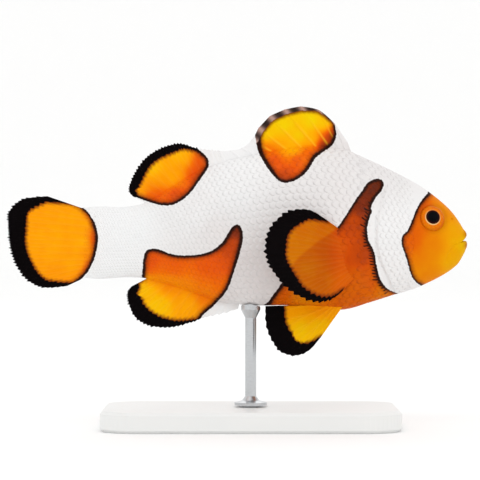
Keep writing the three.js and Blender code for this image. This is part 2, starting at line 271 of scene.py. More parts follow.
# %% [markdown]
# ## The turns round the body
# If the angles were evenly spaced, the flat flanks would get long faces and the back short ones.
# So the deepest section is walked along in even steps, and the angles at those steps are kept
# for the whole fish. The walk starts and ends under the belly, where its seam shows least.
# Subdividing only the flanks would do too, but would leave steps in the size of the faces.

# %% Even steps round a section
COLUMNS = 236
DEEPEST = 26.0


def even_turns(count):
    """Angles at even steps round the deepest section, and its girth."""
    turns = np.linspace(-0.5 * np.pi, 1.5 * np.pi, 4001)
    ring = body_point(DEEPEST, turns)
    walked = np.concatenate([[0], np.cumsum(np.linalg.norm(np.diff(ring, axis=0), axis=1))])
    return np.interp(np.linspace(0, walked[-1], count + 1), walked, turns), walked[-1]


TURNS, girth = even_turns(COLUMNS)
print("girth at the deepest section:", round(girth, 1), "mm")

# %% [markdown]
# ## The mouth
# The mouth is small and a little open, so the skin doesn't close at the snout: it rolls over the
# lips and runs back into the throat, where its pole is hidden. A mouth cut into a closed snout with
# a boolean would leave a hard edge and stray faces. Instead each ring of the mouth is drawn by
# three places, the middle of the upper lip, the middle of the lower lip and the corner. Rings
# further back lie on the body, pulled back at the sides so that they leave the mouth gently.

# %% Rings from the throat to the tail
# Each row: behind and height of the upper lip, of the lower lip and of the corner, then half width.
MOUTH_RINGS = [
    (5.4, -0.2, 5.4, -0.2, 5.4, -0.2, 0.0),
    (3.4, 0.45, 3.2, -0.5, 3.6, -0.4, 1.2),
    (1.7, 0.55, 1.6, -0.2, 2.4, -0.35, 1.8),
    (0.75, 0.52, 0.6, 0.05, 1.6, -0.22, 2.0),
    (0.25, 0.75, 0.12, -0.1, 1.4, -0.22, 2.15),
    (0.08, 1.25, 0.0, -0.5, 1.38, -0.24, 2.35),
    (0.26, 1.8, 0.05, -1.1, 1.6, -0.36, 2.6),
    (0.7, 2.35, 0.3, -1.75, 2.1, -0.55, 2.9),
    (0.95, 2.75, 0.55, -2.35, 2.6, -0.75, 3.15),
]
# Each row: behind at the back and belly, and how much further behind at the flanks.
HEAD_RINGS = [(1.6, 2.2), (2.5, 1.9), (3.6, 1.5), (5.0, 1.1), (6.5, 0.7), (8.0, 0.4), (9.6, 0.15)]
THROAT_RINGS = 3
FIRST_TRUNK_RING = 11.2
TRUNK_RING_STEP = 1.6
HEAD_END = 19
ROWS_PER_RING = {"throat": 4, "lips": 7, "head": 10, "trunk": 5}
TAIL_THINNING = 0.6
THINNING_LENGTH = 5
LAST_GAP = 0.4
END_CURVE = 0.35


def mouth_ring(size):
    """One ring of the mouth, from a row of MOUTH_RINGS."""
    up_back, up_height, low_back, low_height, corner_back, corner_height, half = size
    lift = np.abs(np.sin(TURNS))
    above = np.sin(TURNS) >= 0
    behind = corner_back + (np.where(above, up_back, low_back) - corner_back) * lift
    height = corner_height + (np.where(above, up_height, low_height) - corner_height) * lift**1.4
    return np.stack([SNOUT_X - behind, half * np.cos(TURNS), AXIS_Z + height], -1)


def control_rings():
    """The rings that the skin passes through, each with the kind that says how finely."""
    rings = [(mouth_ring(size), "lips") for size in MOUTH_RINGS]
    rings[:THROAT_RINGS] = [(ring, "throat") for ring, _ in rings[:THROAT_RINGS]]
    for behind, pull in HEAD_RINGS:
        rings.append((body_point(behind + pull * (1 - np.abs(np.sin(TURNS))), TURNS), "head"))
    for behind in np.arange(FIRST_TRUNK_RING, BODY_LENGTH - LAST_GAP, TRUNK_RING_STEP):
        kind = "head" if behind < HEAD_END else "trunk"
        rings.append((body_point(behind, TURNS), kind))
    rings.append((body_point(BODY_LENGTH, TURNS), "trunk"))
    for ring, _ in rings:
        behind = SNOUT_X - ring[:, 0]
        ring[:, 1] *= 1 - TAIL_THINNING * step(BODY_LENGTH - THINNING_LENGTH, BODY_LENGTH, behind)
    closing = body_point(BODY_LENGTH, TURNS)
    closing[:, 0] -= END_CURVE
    closing[:, 1] = 0
    rings.append((closing, "trunk"))
    return rings


def skin_surface():
    """Points of the whole skin, as rows by columns, before any relief."""
    rings = control_rings()
    at = [0.0]
    for i, (_, kind) in enumerate(rings[:-1]):
        count = ROWS_PER_RING[kind]
        at.extend(i + np.arange(1, count + 1) / count)
    return smooth_rows([ring for ring, _ in rings], at)


skin_points = skin_surface()
print("skin rows and columns:", skin_points.shape[:2])

# %% [markdown]
# ## Relief of the head
# The gill cover is a hard plate that ends in a free edge, with a smaller edge, the preopercle,
# inside it. The eyes sit in sockets with a low rim, one small nostril lies before each eye, and a
# fleshy lobe carries each pectoral fin. Sculpting brushes would be the usual way, but they leave no
# sizes behind. So all are modelled by pushing the skin along its normals, by amounts worked out
# from the distance to each feature. The edges below run up the head: x forwards, then height.

# %% Edges of the head
GILL_EDGE = [
    (32.2, -12.5), (29.2, -7.0), (27.4, -2.5), (27.0, 2.0), (27.6, 6.0), (29.0, 10.0), (31.0, 16.5),
]
CHEEK_EDGE = [(35.5, -10.5), (33.3, -8.2), (33.9, -4.2), (34.2, 0.0), (33.8, 4.0), (32.6, 7.6)]
EYE_TILT = (0.20, 0.28)
SOCKET_RADIUS = 2.45


def ahead_of(edge, x, height):
    """How far points lie in front of an edge that runs up the side of the head."""
    line = smooth_rows(edge, np.linspace(0, len(edge) - 1, 200))
    slope = np.gradient(line[:, 0], line[:, 1])
    lean = 1 / np.sqrt(1 + np.interp(height, line[:, 1], slope) ** 2)
    return (x - np.interp(height, line[:, 1], line[:, 0])) * lean


def eye_place(side):
    """Centre of an eye and the way it looks, for side -1, the right, or 1, the left."""
    low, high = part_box("eye_right" if side < 0 else "eye_left")
    look = np.array([EYE_TILT[0], side, EYE_TILT[1]])
    return np.array((low + high) / 2) / MM, look / np.linalg.norm(look)


def normals_of(points):
    """Outward normals of a tube given as rows by columns, its last column equal to its first."""
    along = np.gradient(points, axis=0)
    wrapped = np.concatenate([points[:, -2:-1], points, points[:, 1:2]], axis=1)
    around = (wrapped[:, 2:] - wrapped[:, :-2]) / 2
    normal = np.cross(along, around)
    return normal / np.maximum(np.linalg.norm(normal, axis=2, keepdims=True), 1e-9)


skin_normals = normals_of(skin_points)
shoulder_row = np.argmin(np.abs(skin_points[:, 0, 0] - 20))
print("outward on the left flank:", skin_normals[shoulder_row, COLUMNS // 4].round(2))

# %% [markdown]
# ## Distances in the side view
# Folds, grooves and colour patches all follow lines that are easiest to draw from the side. For
# any point, the nearest place on such a line gives two numbers: how far away it is, and how far
# along the line it lies. A closed line also tells inside from outside, by how often a level walk
# from the point crosses it. A painted picture could say the same, but a line stays sharp.

# %% Lines of the side view
def closed_line(points, per_span=6):
    """A smooth closed run through a few points of the side view."""
    rows = [points[-1], *points, points[0], points[1]]
    return smooth_rows(rows, np.linspace(1, len(points) + 1, per_span * len(points) + 1))


def nearest_on_line(x, height, line):
    """Distance of points to a line, how far along it the nearest place is, and that place."""
    best = np.full(x.shape, 1e9)
    along, near_x, near_height = (np.zeros(x.shape) for _ in range(3))
    passed = 0.0
    for (start_x, start_h), (end_x, end_h) in zip(line[:-1], line[1:]):
        run_x, run_h = end_x - start_x, end_h - start_h
        length = math.hypot(run_x, run_h)
        share = np.clip(((x - start_x) * run_x + (height - start_h) * run_h) / length**2, 0, 1)
        place_x, place_h = start_x + share * run_x, start_h + share * run_h
        gap = np.hypot(x - place_x, height - place_h)
        nearer = gap < best
        best[nearer] = gap[nearer]
        along[nearer] = passed + share[nearer] * length
        near_x[nearer], near_height[nearer] = place_x[nearer], place_h[nearer]
        passed += length
    return best, along, near_x, near_height


def is_inside(x, height, line):
    """Which points lie inside a closed line."""
    inside = np.zeros(x.shape, bool)
    for (start_x, start_h), (end_x, end_h) in zip(line[:-1], line[1:]):
        if start_h == end_h:
            continue
        crosses = (start_h > height) != (end_h > height)
        at_x = start_x + (end_x - start_x) * (height - start_h) / (end_h - start_h)
        inside ^= crosses & (x < at_x)
    return inside


print("distance tools ready")

# %% [markdown]
# ## Pushing the relief
# Each feature adds to one map of heights. A plate's edge is a steep step with a long fade in front
# and a shallow groove behind. A socket is a hollow inside a low ring. The skin then moves along its
# normals by the sum, which keeps both sides alike. A Displace modifier does the same from a
# picture, and here the heights are worked out at each vertex, so no picture has to be painted.

# %% Map of heights
GILL_RISE, GILL_FADE = 0.34, 3.0
CHEEK_RISE, CHEEK_FADE = 0.12, 1.2
SOCKET_DEPTH = 1.2
NOSTRIL = (41.9, 4.3)
JAW_FOLD = [(42.2, -1.1), (41.2, -2.4), (40.7, -3.9)]
FOLD_DEPTH, FOLD_WIDTH = 0.13, 0.22
PECTORAL_LOBE = (22.9, -3.3)
LOBE_RISE, LOBE_LENGTH, LOBE_HEIGHT = 0.8, 1.9, 3.6
SHEATH_RISE = 0.22


def plate_edge(ahead, rise, fade):
    """A free edge: a step up in front of the line, dying away forwards, and a groove behind it."""
    plate = rise * step(-0.12, 0.1, ahead) * np.exp(-np.maximum(ahead, 0) / fade)
    return plate - 0.3 * rise * hump(ahead + 0.32, 0.3)


def socket(points, side):
    """The hollow of an eye, with a low rim round it and a slight swelling further out."""
    centre, look = eye_place(side)
    offset = points - centre
    out = offset @ look
    radius = np.linalg.norm(offset - out[..., None] * look, axis=-1)
    ring = SOCKET_RADIUS + 0.2
    hollow = -SOCKET_DEPTH * step(SOCKET_RADIUS + 0.02, SOCKET_RADIUS - 0.4, radius)
    rim = 0.08 * hump(radius - ring, 0.2) - 0.04 * hump(radius - ring - 0.6, 0.25)
    brow = 0.15 * hump(radius, 3.4) * step(SOCKET_RADIUS - 0.1, SOCKET_RADIUS + 0.2, radius)
    return (hollow + rim + brow) * (out > -1.5)


def nostril(points, side):
    """A small pit with a raised rim, before the eye."""
    x, height = NOSTRIL
    place = np.array([x, side * (flank_at(x, height) - SCALE_DEPTH), AXIS_Z + height])
    radius = np.linalg.norm(points - place, axis=-1)
    return 0.1 * hump(radius - 0.36, 0.14) - 0.4 * hump(radius, 0.2)


def fin_bases(x, y, height):
    """1 on the ridges that sheathe the roots of the dorsal and anal fins."""
    dorsal = window(x, (23.5, 21.5), (-18.5, -16.5)) * (height > 0)
    anal = window(x, (-0.5, -2.0), (-18.5, -17.0)) * (height < 0)
    return hump(y, 1.0) * (dorsal + anal)


def relief(points):
    """How far each point of the skin moves outwards, in mm."""
    x, y, height = points[..., 0], points[..., 1], points[..., 2] - AXIS_Z
    gill = plate_edge(ahead_of(GILL_EDGE, x, height), GILL_RISE, GILL_FADE)
    cheek = plate_edge(ahead_of(CHEEK_EDGE, x, height), CHEEK_RISE, CHEEK_FADE)
    push = gill * window(height, (12.6, 9.0), (-11.0, -8.6))
    push += cheek * window(height, (7.8, 5.5), (-10.4, -9.0))
    for side in (-1, 1):
        push += socket(points, side) + nostril(points, side)
    fold = nearest_on_line(x, height, smooth_rows(JAW_FOLD, np.linspace(0, 2, 9)))[0]
    push -= FOLD_DEPTH * hump(fold, FOLD_WIDTH)
    lobe_x, lobe_height = PECTORAL_LOBE
    off_lobe = ((x - lobe_x) / LOBE_LENGTH) ** 2 + ((height - lobe_height) / LOBE_HEIGHT) ** 2
    push += LOBE_RISE * np.exp(-(off_lobe**1.5))
    return push + SHEATH_RISE * fin_bases(x, y, height)


skin_points += skin_normals * relief(skin_points)[..., None]
skin_points[:, -1] = skin_points[:, 0]
skin_normals = normals_of(skin_points)
print("relief from", relief(skin_points).min().round(2), "to", relief(skin_points).max().round(2), "mm")

# %% [markdown]
# ## The skin
# A cast fish has one skin from the lips to the tail. It could be joined from the six solids, but
# their seams would show. So the finished surface goes onto one grid primitive, which is welded
# along the belly, in the throat and down the end of the tail, and is then one closed skin. Its flat
# picture is simply the grid itself: the length runs one way and the girth the other.

# %% Weld the skin
WELD = 2e-6


def weld(piece):
    """Joins vertices that share a place, and points every face outwards."""
    select_only(piece)
    bpy.ops.object.mode_set(mode="EDIT")
    bpy.ops.mesh.select_all(action="SELECT")
    bpy.ops.mesh.remove_doubles(threshold=WELD)
    bpy.ops.mesh.normals_make_consistent(inside=False)
    bpy.ops.object.mode_set(mode="OBJECT")


skin, skin_row, skin_column = sheet_of(skin_points, "skin")
skin_rows = skin_points.shape[0] - 1
unwrap_as_grid(skin, skin_row / skin_rows, skin_column / COLUMNS)
weld(skin)
smooth_faces(skin)
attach(skin, "root")
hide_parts("head", "lower_jaw", "gill_cover_right", "gill_cover_left", "trunk", "tail_stem")
print("skin faces:", len(skin.data.polygons))

# %% [markdown]
# ## The patches
# This colour form of the fish is pearl white where others are orange, and wears its orange in a
# few patches, each with a thin dark rim: the face, the shoulder and breast, a saddle that runs up
# the spiny dorsal fin, one on the soft dorsal fin, one from the flank down the anal fin, and the
# tail. They could be painted on a picture that is wrapped round the fish, but its edges would blur
# close by. A model maker would mask them, so here they are masks: closed lines in the side view.
# Where a patch runs off the body or off a fin's edge, its line simply passes beyond it. The rim is
# the width of the dark line, and the glow lists places of warmer or lighter paint, from 0, yellow,
# through 0.5, orange, to 1, dark russet.

# %% Where each patch lies
PATCHES = {
    "face": {
        "rim": [(37.4, 9.6, 0.62), (35.8, 7.2, 0.36), (34.0, 3.0, 0.34), (32.0, -0.5, 0.3),
                (34.0, -6.5, 0.26), (45.0, 0.0, 0.2)],
        "outline": [
            (38.4, 12.5), (37.3, 9.7), (36.0, 8.1), (34.9, 6.5), (34.0, 4.4), (33.1, 2.3), (31.95, 0.9),
            (31.8, -0.5), (32.3, -2.1), (33.1, -4.5), (33.8, -6.6), (34.85, -8.1), (36.3, -9.1),
            (37.5, -12.0), (48.0, -12.0), (48.0, 12.0),
        ],
        "glow": [(43.0, 1.5, 0.24), (42.0, -4.0, 0.2), (37.0, -6.5, 0.38), (37.5, -1.0, 0.4),
                 (34.2, 0.5, 0.56), (35.6, 6.6, 0.56), (40.5, 6.6, 0.36), (45.0, 0.3, 0.0)],
    },
    "shoulder": {
        "rim": [(27.5, 11.5, 0.5), (21.0, 5.0, 0.34), (26.0, 2.0, 0.5), (28.0, -7.0, 0.5),
                (31.0, -10.0, 0.1), (8.0, -10.0, 0.6)],
        "outline": [
            (27.2, 12.1), (28.2, 11.8), (28.4, 10.8), (27.9, 9.7), (26.5, 8.0), (25.9, 6.5),
            (26.0, 5.6), (25.4, 4.1), (25.1, 2.3), (25.4, 0.1), (26.4, -2.0), (26.9, -4.4),
            (27.3, -6.3), (28.1, -8.1), (29.4, -9.4), (31.8, -10.6), (33.1, -12.4), (20.0, -16.0),
            (5.8, -13.6), (6.2, -11.7), (7.1, -10.3), (8.5, -8.3), (10.8, -4.2), (15.2, -0.3),
            (19.2, 2.5), (22.4, 7.2), (24.2, 9.8), (25.5, 11.5),
        ],
        "glow": [(27.2, 10.4, 0.98), (24.4, 6.8, 0.88), (22.4, 3.5, 0.7), (24.0, -2.5, 0.72),
                 (20.0, -1.5, 0.58), (22.0, -8.0, 0.52), (26.0, -7.0, 0.56), (29.0, -9.3, 0.42),
                 (13.0, -10.0, 0.36), (8.5, -9.6, 0.54)],
    },
    "saddle": {
        "rim": [(3.0, 20.0, 0.95), (5.0, 15.0, 0.7), (9.0, 11.5, 0.5), (15.0, 16.0, 0.62),
                (18.5, 19.3, 0.6), (19.6, 22.6, 0.3)],
        "outline": [
            (3.0, 22.5), (3.5, 20.4), (4.0, 17.8), (5.2, 15.3), (6.5, 13.4), (7.7, 12.0), (9.1, 11.3),
            (11.0, 11.7), (12.9, 12.9), (14.2, 14.5), (15.2, 16.2), (16.9, 17.5), (18.6, 18.8),
            (19.4, 20.9), (19.1, 22.6), (18.8, 26.0), (16.0, 29.5), (8.0, 29.5), (2.5, 26.0),
        ],
        "glow": [(14.5, 23.5, 0.0), (9.0, 23.0, 0.02), (12.0, 20.5, 0.04), (6.0, 21.0, 0.06),
                 (17.0, 23.0, 0.08), (10.6, 18.2, 0.16), (5.6, 17.8, 0.5), (11.5, 15.5, 0.62),
                 (7.0, 15.5, 0.66), (9.4, 12.8, 0.74), (14.2, 17.2, 0.6), (14.6, 19.8, 0.12),
                 (16.8, 18.7, 0.9), (18.3, 20.6, 0.84)],
    },
    "rear_saddle": {
        "rim": [(-20.0, 8.5, 0.42), (-13.0, 6.7, 0.46), (-6.0, 15.0, 0.5)],
        "outline": [
            (-23.5, 10.3), (-22.0, 8.9), (-20.0, 8.6), (-17.7, 7.8), (-15.5, 7.1), (-13.1, 7.0),
            (-11.1, 7.8), (-9.2, 9.4), (-7.5, 11.7), (-6.0, 14.0), (-5.6, 15.2), (-6.1, 16.6),
            (-7.7, 18.0), (-9.5, 20.5), (-14.0, 23.0), (-21.0, 20.0), (-25.0, 14.0),
        ],
        "glow": [(-16.5, 14.5, 0.18), (-11.0, 16.8, 0.2), (-6.8, 15.4, 0.64), (-7.6, 12.5, 0.7),
                 (-11.6, 8.4, 0.7), (-16.4, 8.0, 0.6), (-19.5, 10.6, 0.3), (-12.8, 12.8, 0.28)],
    },
    "anal": {
        "rim": [(-18.4, -5.0, 0.5), (-10.0, -2.5, 0.42), (0.0, 2.5, 0.6), (-2.0, -9.0, 0.5)],
        "outline": [
            (-24.0, -8.3), (-20.7, -8.2), (-19.4, -8.1), (-18.7, -6.9), (-18.4, -4.1), (-17.9, -2.1),
            (-16.7, -1.5), (-15.3, -1.7), (-12.2, -2.7), (-9.3, -2.8), (-6.4, -2.4), (-4.2, -1.4),
            (-2.6, 0.2), (-1.4, 2.2), (-0.4, 3.2), (0.6, 2.8), (1.1, 0.6), (0.5, -2.1), (-0.7, -6.0),
            (-2.0, -9.5), (-4.4, -12.4), (-7.0, -14.8), (-8.8, -18.0), (-16.0, -22.0), (-24.0, -16.0),
        ],
        "glow": [(-15.5, -12.5, 0.12), (-18.5, -10.0, 0.16), (-10.0, -12.5, 0.26), (-13.0, -8.4, 0.4),
                 (-6.5, -10.5, 0.46), (-12.5, -4.6, 0.6), (-5.5, -5.0, 0.62), (-1.2, -1.0, 0.72),
                 (0.3, 2.0, 0.9), (-17.0, -3.4, 0.64)],
    },
    "tail": {
        "rim": [(-27.5, 0.0, 0.5), (-32.0, 7.5, 0.3), (-32.0, -8.0, 0.44)],
        "outline": [
            (-34.5, 12.0), (-32.6, 8.1), (-30.8, 6.9), (-29.1, 5.4), (-27.9, 3.4), (-27.3, 1.0),
            (-27.5, -1.4), (-28.2, -3.9), (-29.3, -5.9), (-30.7, -7.5), (-32.4, -9.0),
            (-34.5, -12.0), (-50.0, -12.0), (-50.0, 12.0),
        ],
        "glow": [(-36.0, 0.0, 0.28), (-30.6, 0.0, 0.25), (-27.2, 0.5, 0.64), (-28.2, 5.2, 0.56),
                 (-28.8, -5.6, 0.58), (-32.0, 5.0, 0.28), (-31.6, -4.5, 0.28), (-30.4, 3.4, 0.27)],
    },
}
print("patches:", ", ".join(PATCHES))

# %% [markdown]
# ## Pearl, shade and fringe
# Between the patches the skin is pearl white, and it isn't one white: it is bright over the cheek
# and the tail stem and duller low on the flank. The duller white is partly the fish's own
# countershading and partly painted shade, as if the light fell from above, and the bright white at
# the front of the anal fin is painted light shining through the thin fin. Shade is a brown glaze,
# strongest on the lips and on the shoulder, and painted shade in the crease round the eye. The front
# edge of the shoulder patch has a fringe of dashes. Gradients in the shader could do it, but smooth
# blends between a few chosen places are easier to shift about while looking.

# %% Tones between the patches
# Tones of the white, from 0, dull, to 1, bright: partly the fish's own countershading, partly painted
# shade low on the flank and painted light through the front of the anal fin.
PEARL_AND_SHADE = [
    (30.0, 2.0, 0.85), (27.0, 14.0, 0.5), (20.0, 11.0, 0.5), (-1.5, 10.0, 0.8), (2.5, -5.6, 0.2),
    (-4.4, 2.2, 0.5), (0.5, 15.5, 0.85), (-22.0, 3.2, 1.0), (-24.0, -3.7, 0.95), (-2.5, -10.5, 0.25),
    (-7.4, 5.5, 0.75), (8.0, -7.0, 0.1), (31.0, -8.5, 0.8), (12.0, 6.0, 0.6), (-3.0, -14.2, 1.0),
]
BLEND_REACH = 1.2
SHADE = {"face": 0.16, "shoulder": 0.24, "pectoral": 0.36}
LIPS = [(45.2, 1.3), (45.2, -0.8)]
LIP_SIZE, LIP_SHADE, LIP_WARMTH = 0.9, 0.45, 0.3
# Painted shade in the crease round the eye: its centre and radius in the side view, then how dark the
# shade is and how wide.
EYE_CREASE = (38.1, 4.4, 2.5)
CREASE_SHADE, CREASE_WIDTH = 0.14, 0.45
FRINGE_START_X = 24.8
FRINGE_HEIGHTS = (-9.9, 7.9)


def blend_places(x, height, places):
    """A value blended from those given at a few places of the side view, the nearest most."""
    total, weight = np.zeros(x.shape), np.zeros(x.shape)
    for place_x, place_height, value in places:
        near = 1 / ((x - place_x) ** 2 + (height - place_height) ** 2 + BLEND_REACH) ** 1.5
        total += near * value
        weight += near
    return total / weight


print("pearl on the cheek:", blend_places(np.full(1, 30.0), np.full(1, 2.0), PEARL_AND_SHADE).round(2))

# %% [markdown]
# ## Storing the masks
# Each vertex keeps how deep it lies inside a patch, how far along the patch's line, and the tones
# there. Numbers on vertices need no picture and no unwrapping, and the skin, the scales and the
# fins agree wherever they meet, because all read the same lines at their own places.

# %% Masks on the vertices
FAR_OUTSIDE = -99.0
NO_MARGIN = -9.0


def fringe_at(x, height):
    """1 on the front edge of the shoulder patch, fading out at its ends."""
    low, high = FRINGE_HEIGHTS
    front = step(FRINGE_START_X, FRINGE_START_X + 0.2, x)
    return front * window(height, (low, low + 0.8), (high, high - 0.8))


def masks_at(x, height):
    """The numbers that the paint reads: how deep inside a patch a point is, and its surroundings."""
    fields = {name: np.zeros(x.shape) for name in ("along", "rim", "fringe", "warmth", "shade")}
    fields["patch"] = np.full(x.shape, FAR_OUTSIDE)
    # The white's tone, with its painted shade and painted light.
    fields["pearl_and_shade"] = blend_places(x, height, PEARL_AND_SHADE)
    for name, patch in PATCHES.items():
        line = closed_line(patch["outline"])
        gap, along, near_x, near_height = nearest_on_line(x, height, line)
        depth = np.where(is_inside(x, height, line), gap, -gap)
        nearer = depth > fields["patch"]
        values = {"patch": depth, "along": along, "shade": SHADE.get(name, 0.0)}
        values["fringe"] = fringe_at(near_x, near_height) if name == "shoulder" else 0.0
        values["rim"] = blend_places(x, height, patch["rim"])
        values["warmth"] = blend_places(x, height, patch["glow"])
        for key, value in values.items():
            fields[key] = np.where(nearer, value, fields[key])
    for lip_x, lip_height in LIPS:
        lip = hump(np.hypot(x - lip_x, height - lip_height), LIP_SIZE)
        fields["shade"] += LIP_SHADE * lip
        fields["warmth"] += LIP_WARMTH * lip
    # Painted shade: a soft dark ring where the skin dips into the eye's socket.
    eye_x, eye_height, radius = EYE_CREASE
    off_crease = np.hypot(x - eye_x, height - eye_height) - radius
    fields["shade"] += CREASE_SHADE * hump(off_crease, CREASE_WIDTH)
    return fields


def paint(piece, fields=masks_at):
    """Stores a piece's masks on its vertices; fields works them out from the side view."""
    places = vertices_of(piece)
    for name, values in fields(places[:, 0], places[:, 2] - AXIS_Z).items():
        set_values(piece, name, np.broadcast_to(values, len(places)))


paint(skin)
set_values(skin, "margin", np.full(len(skin.data.vertices), NO_MARGIN))
print("masks on the skin:", ", ".join(masks_at(np.zeros(1), np.zeros(1))))

# %% [markdown]
# ## The fins
# A fin is a fan of rays with thin skin between them. The first eleven of the dorsal fin are stiff
# spines; all others are soft rays, which split in two, and then again, towards the edge, so the
# edge ends in many small points. Rays modelled one by one would have to be joined to the skin
# between them. Each fin starts instead as one grid that follows the rays, and a vertex group,
# strong on the rays and weak between them, tells a Solidify modifier how thick to make it.

# %% Rays
# Each row: x and height of the root, x and height of the tip. None puts a root inside the body.
DORSAL_RAYS = [
    (22.9, None, 21.6, 19.3), (21.9, None, 19.0, 23.0), (20.7, None, 16.0, 25.6),
    (19.2, None, 12.5, 26.3), (16.7, None, 9.3, 25.7), (14.0, None, 6.4, 24.4),
    (11.3, None, 4.2, 22.1), (8.6, None, 2.9, 19.9), (5.4, None, 0.9, 18.2),
    (2.0, None, -1.3, 17.7), (-1.8, None, -3.5, 17.6),
    (-3.1, None, -4.1, 17.6), (-5.2, None, -7.9, 18.1), (-7.5, None, -11.4, 19.0),
    (-9.8, None, -14.9, 18.1), (-11.8, None, -17.9, 16.2), (-13.6, None, -20.1, 13.1),
    (-15.2, None, -21.2, 10.2), (-16.5, None, -20.5, 8.8),
]
ANAL_RAYS = [
    (0.6, None, 0.1, -13.3), (-2.8, None, -5.8, -14.7), (-4.8, None, -9.3, -15.9),
    (-7.2, None, -13.2, -16.8), (-9.6, None, -17.1, -16.5), (-11.7, None, -20.0, -14.8),
    (-13.5, None, -21.3, -11.9), (-14.7, None, -21.4, -10.1), (-15.6, None, -20.7, -8.9),
]
TAIL_RAYS = [
    (-27.4, 5.4, -37.3, 8.8), (-28.1, 4.6, -42.1, 8.1), (-28.5, 3.8, -44.6, 5.8),
    (-28.6, 1.8, -44.8, 3.4), (-28.6, -0.3, -44.6, 0.6), (-28.6, -2.1, -44.2, -1.8),
    (-28.5, -3.9, -43.3, -4.5), (-28.3, -4.9, -41.3, -7.4), (-28.1, -5.6, -38.1, -9.0),
    (-27.4, -6.0, -33.4, -8.8),
]
PECTORAL_RAYS = [
    (22.2, 0.6, 17.3, 3.9), (22.2, 0.0, 13.7, 5.9), (22.2, -0.7, 9.9, 5.5), (22.2, -1.3, 7.0, 3.2),
    (22.3, -2.0, 5.7, 0.1), (22.4, -2.7, 5.8, -3.1), (22.4, -3.4, 7.0, -5.7), (22.5, -4.1, 9.2, -8.3),
    (22.6, -4.8, 12.2, -10.5), (22.7, -5.5, 15.8, -11.5), (22.8, -6.1, 18.6, -10.9),
    (23.0, -6.7, 20.4, -9.5),
]
PELVIC_RAYS = [
    (20.4, -13.0, 16.3, -18.7), (19.9, -12.9, 14.0, -21.2), (19.4, -12.9, 11.4, -22.2),
    (18.9, -12.8, 8.7, -21.6), (18.3, -12.8, 7.1, -19.7), (17.7, -12.7, 5.8, -16.7),
    (17.0, -12.5, 5.5, -12.8),
]
ROOT_DEPTH = 1.6


def rooted(rays):
    """Rays of a fin in the plane of symmetry, their missing root heights set ROOT_DEPTH inside."""
    above = rays[0][3] > 0
    filled = []
    for root_x, root_height, tip_x, tip_height in rays:
        if root_height is None:
            back, belly, _ = body_at(SNOUT_X - root_x)
            root_height = back - ROOT_DEPTH if above else ROOT_DEPTH - belly
        filled.append((root_x, root_height, tip_x, tip_height))
    return filled


print("first dorsal spine:", [round(float(v), 1) for v in rooted(DORSAL_RAYS)[0]])

# %% [markdown]
# ## How a ray is shaped
# Across a fin, the place is counted in rays, so that whole numbers are rays and halves are the
# middles of the skin between them. A soft ray's branches part from it by a growing share of that
# count. Its thickness tapers to the tip, and where a fin leaves the body it flares into a sheath.
# The tips differ a little in length, drawn from a random run that starts the same each time.

# %% Thickness and edge of a fin
MEMBRANE_HALF = 0.09
# How wide a ray is to each side and how far it stands out of the skin, at its root and at its tip.
SPINE_WIDTH, SPINE_RISE = (0.3, 0.22), (0.28, 0.1)
SOFT_WIDTH, SOFT_RISE = (0.25, 0.15), (0.08, 0.03)
ROOT_FLARE = 0.45
FLARE_SHARE = 0.3
SHORTEST_TIP = 0.35
rng = np.random.default_rng(7)


def tapered(ends, share):
    """A size between its value at a ray's root and its value at the tip."""
    root, tip = ends
    return root - (root - tip) * share


def ray_thickness(count, share, spacing, is_spine):
    """Half thickness in mm, and how much of it is ray, at places across and along a fin."""
    off_ray = np.abs(count - np.rint(count))
    first_split = np.where(is_spine, 0, 0.25 * step(0.3, 0.7, share))
    second_split = np.where(is_spine, 0, 0.125 * step(0.6, 0.95, share))
    gap = np.abs(np.abs(off_ray - first_split) - second_split) * spacing
    width = np.where(is_spine, tapered(SPINE_WIDTH, share), tapered(SOFT_WIDTH, share))
    ray = hump(gap, np.minimum(width, 0.3 * spacing))
    rise = np.where(is_spine, tapered(SPINE_RISE, share), tapered(SOFT_RISE, share))
    flare = ROOT_FLARE * np.maximum(0, 1 - share / FLARE_SHARE) ** 2
    return MEMBRANE_HALF + rise * ray + flare, ray


def edge_reach(count, is_spine, teeth, branches, length):
    """How far each place's edge stands out, in mm: a pointed tip at each branch, less at spines."""
    tips = count * branches
    sizes = rng.uniform(SHORTEST_TIP, 1.0, int(tips[-1]) + 2)[tips.astype(int)]
    soft = 1.2 * teeth * sizes * (1 - np.abs(2 * np.mod(tips, 1) - 1)) * step(0, 4.0, length)
    spiny = 0.1 * (1 - 2 * np.abs(count - np.rint(count))) ** 2
    ends = step(0, 0.4, count) * step(count[-1], count[-1] - 0.4, count)
    return np.where(is_spine, spiny, soft) * ends


spine_half, _ = ray_thickness(np.zeros(1), np.full(1, FLARE_SHARE), 2.0, np.ones(1, bool))
print("a spine above its sheath is", round(2 * spine_half[0], 2), "mm thick")

# %% [markdown]
# ## From rays to a solid fin
# The grid has many columns to each ray, so that the ray is round and not a fold. The rows that draw
# a fin needn't be its rays: they give its outline, and the rays are counted off between them. The
# spines of the dorsal fin carry pale streaks across its black margin, which are stored here too.

# %% Surface of a fin
COLUMNS_PER_RAY = 18
FIN_STEPS = 66
STREAK_WIDTH = 0.65


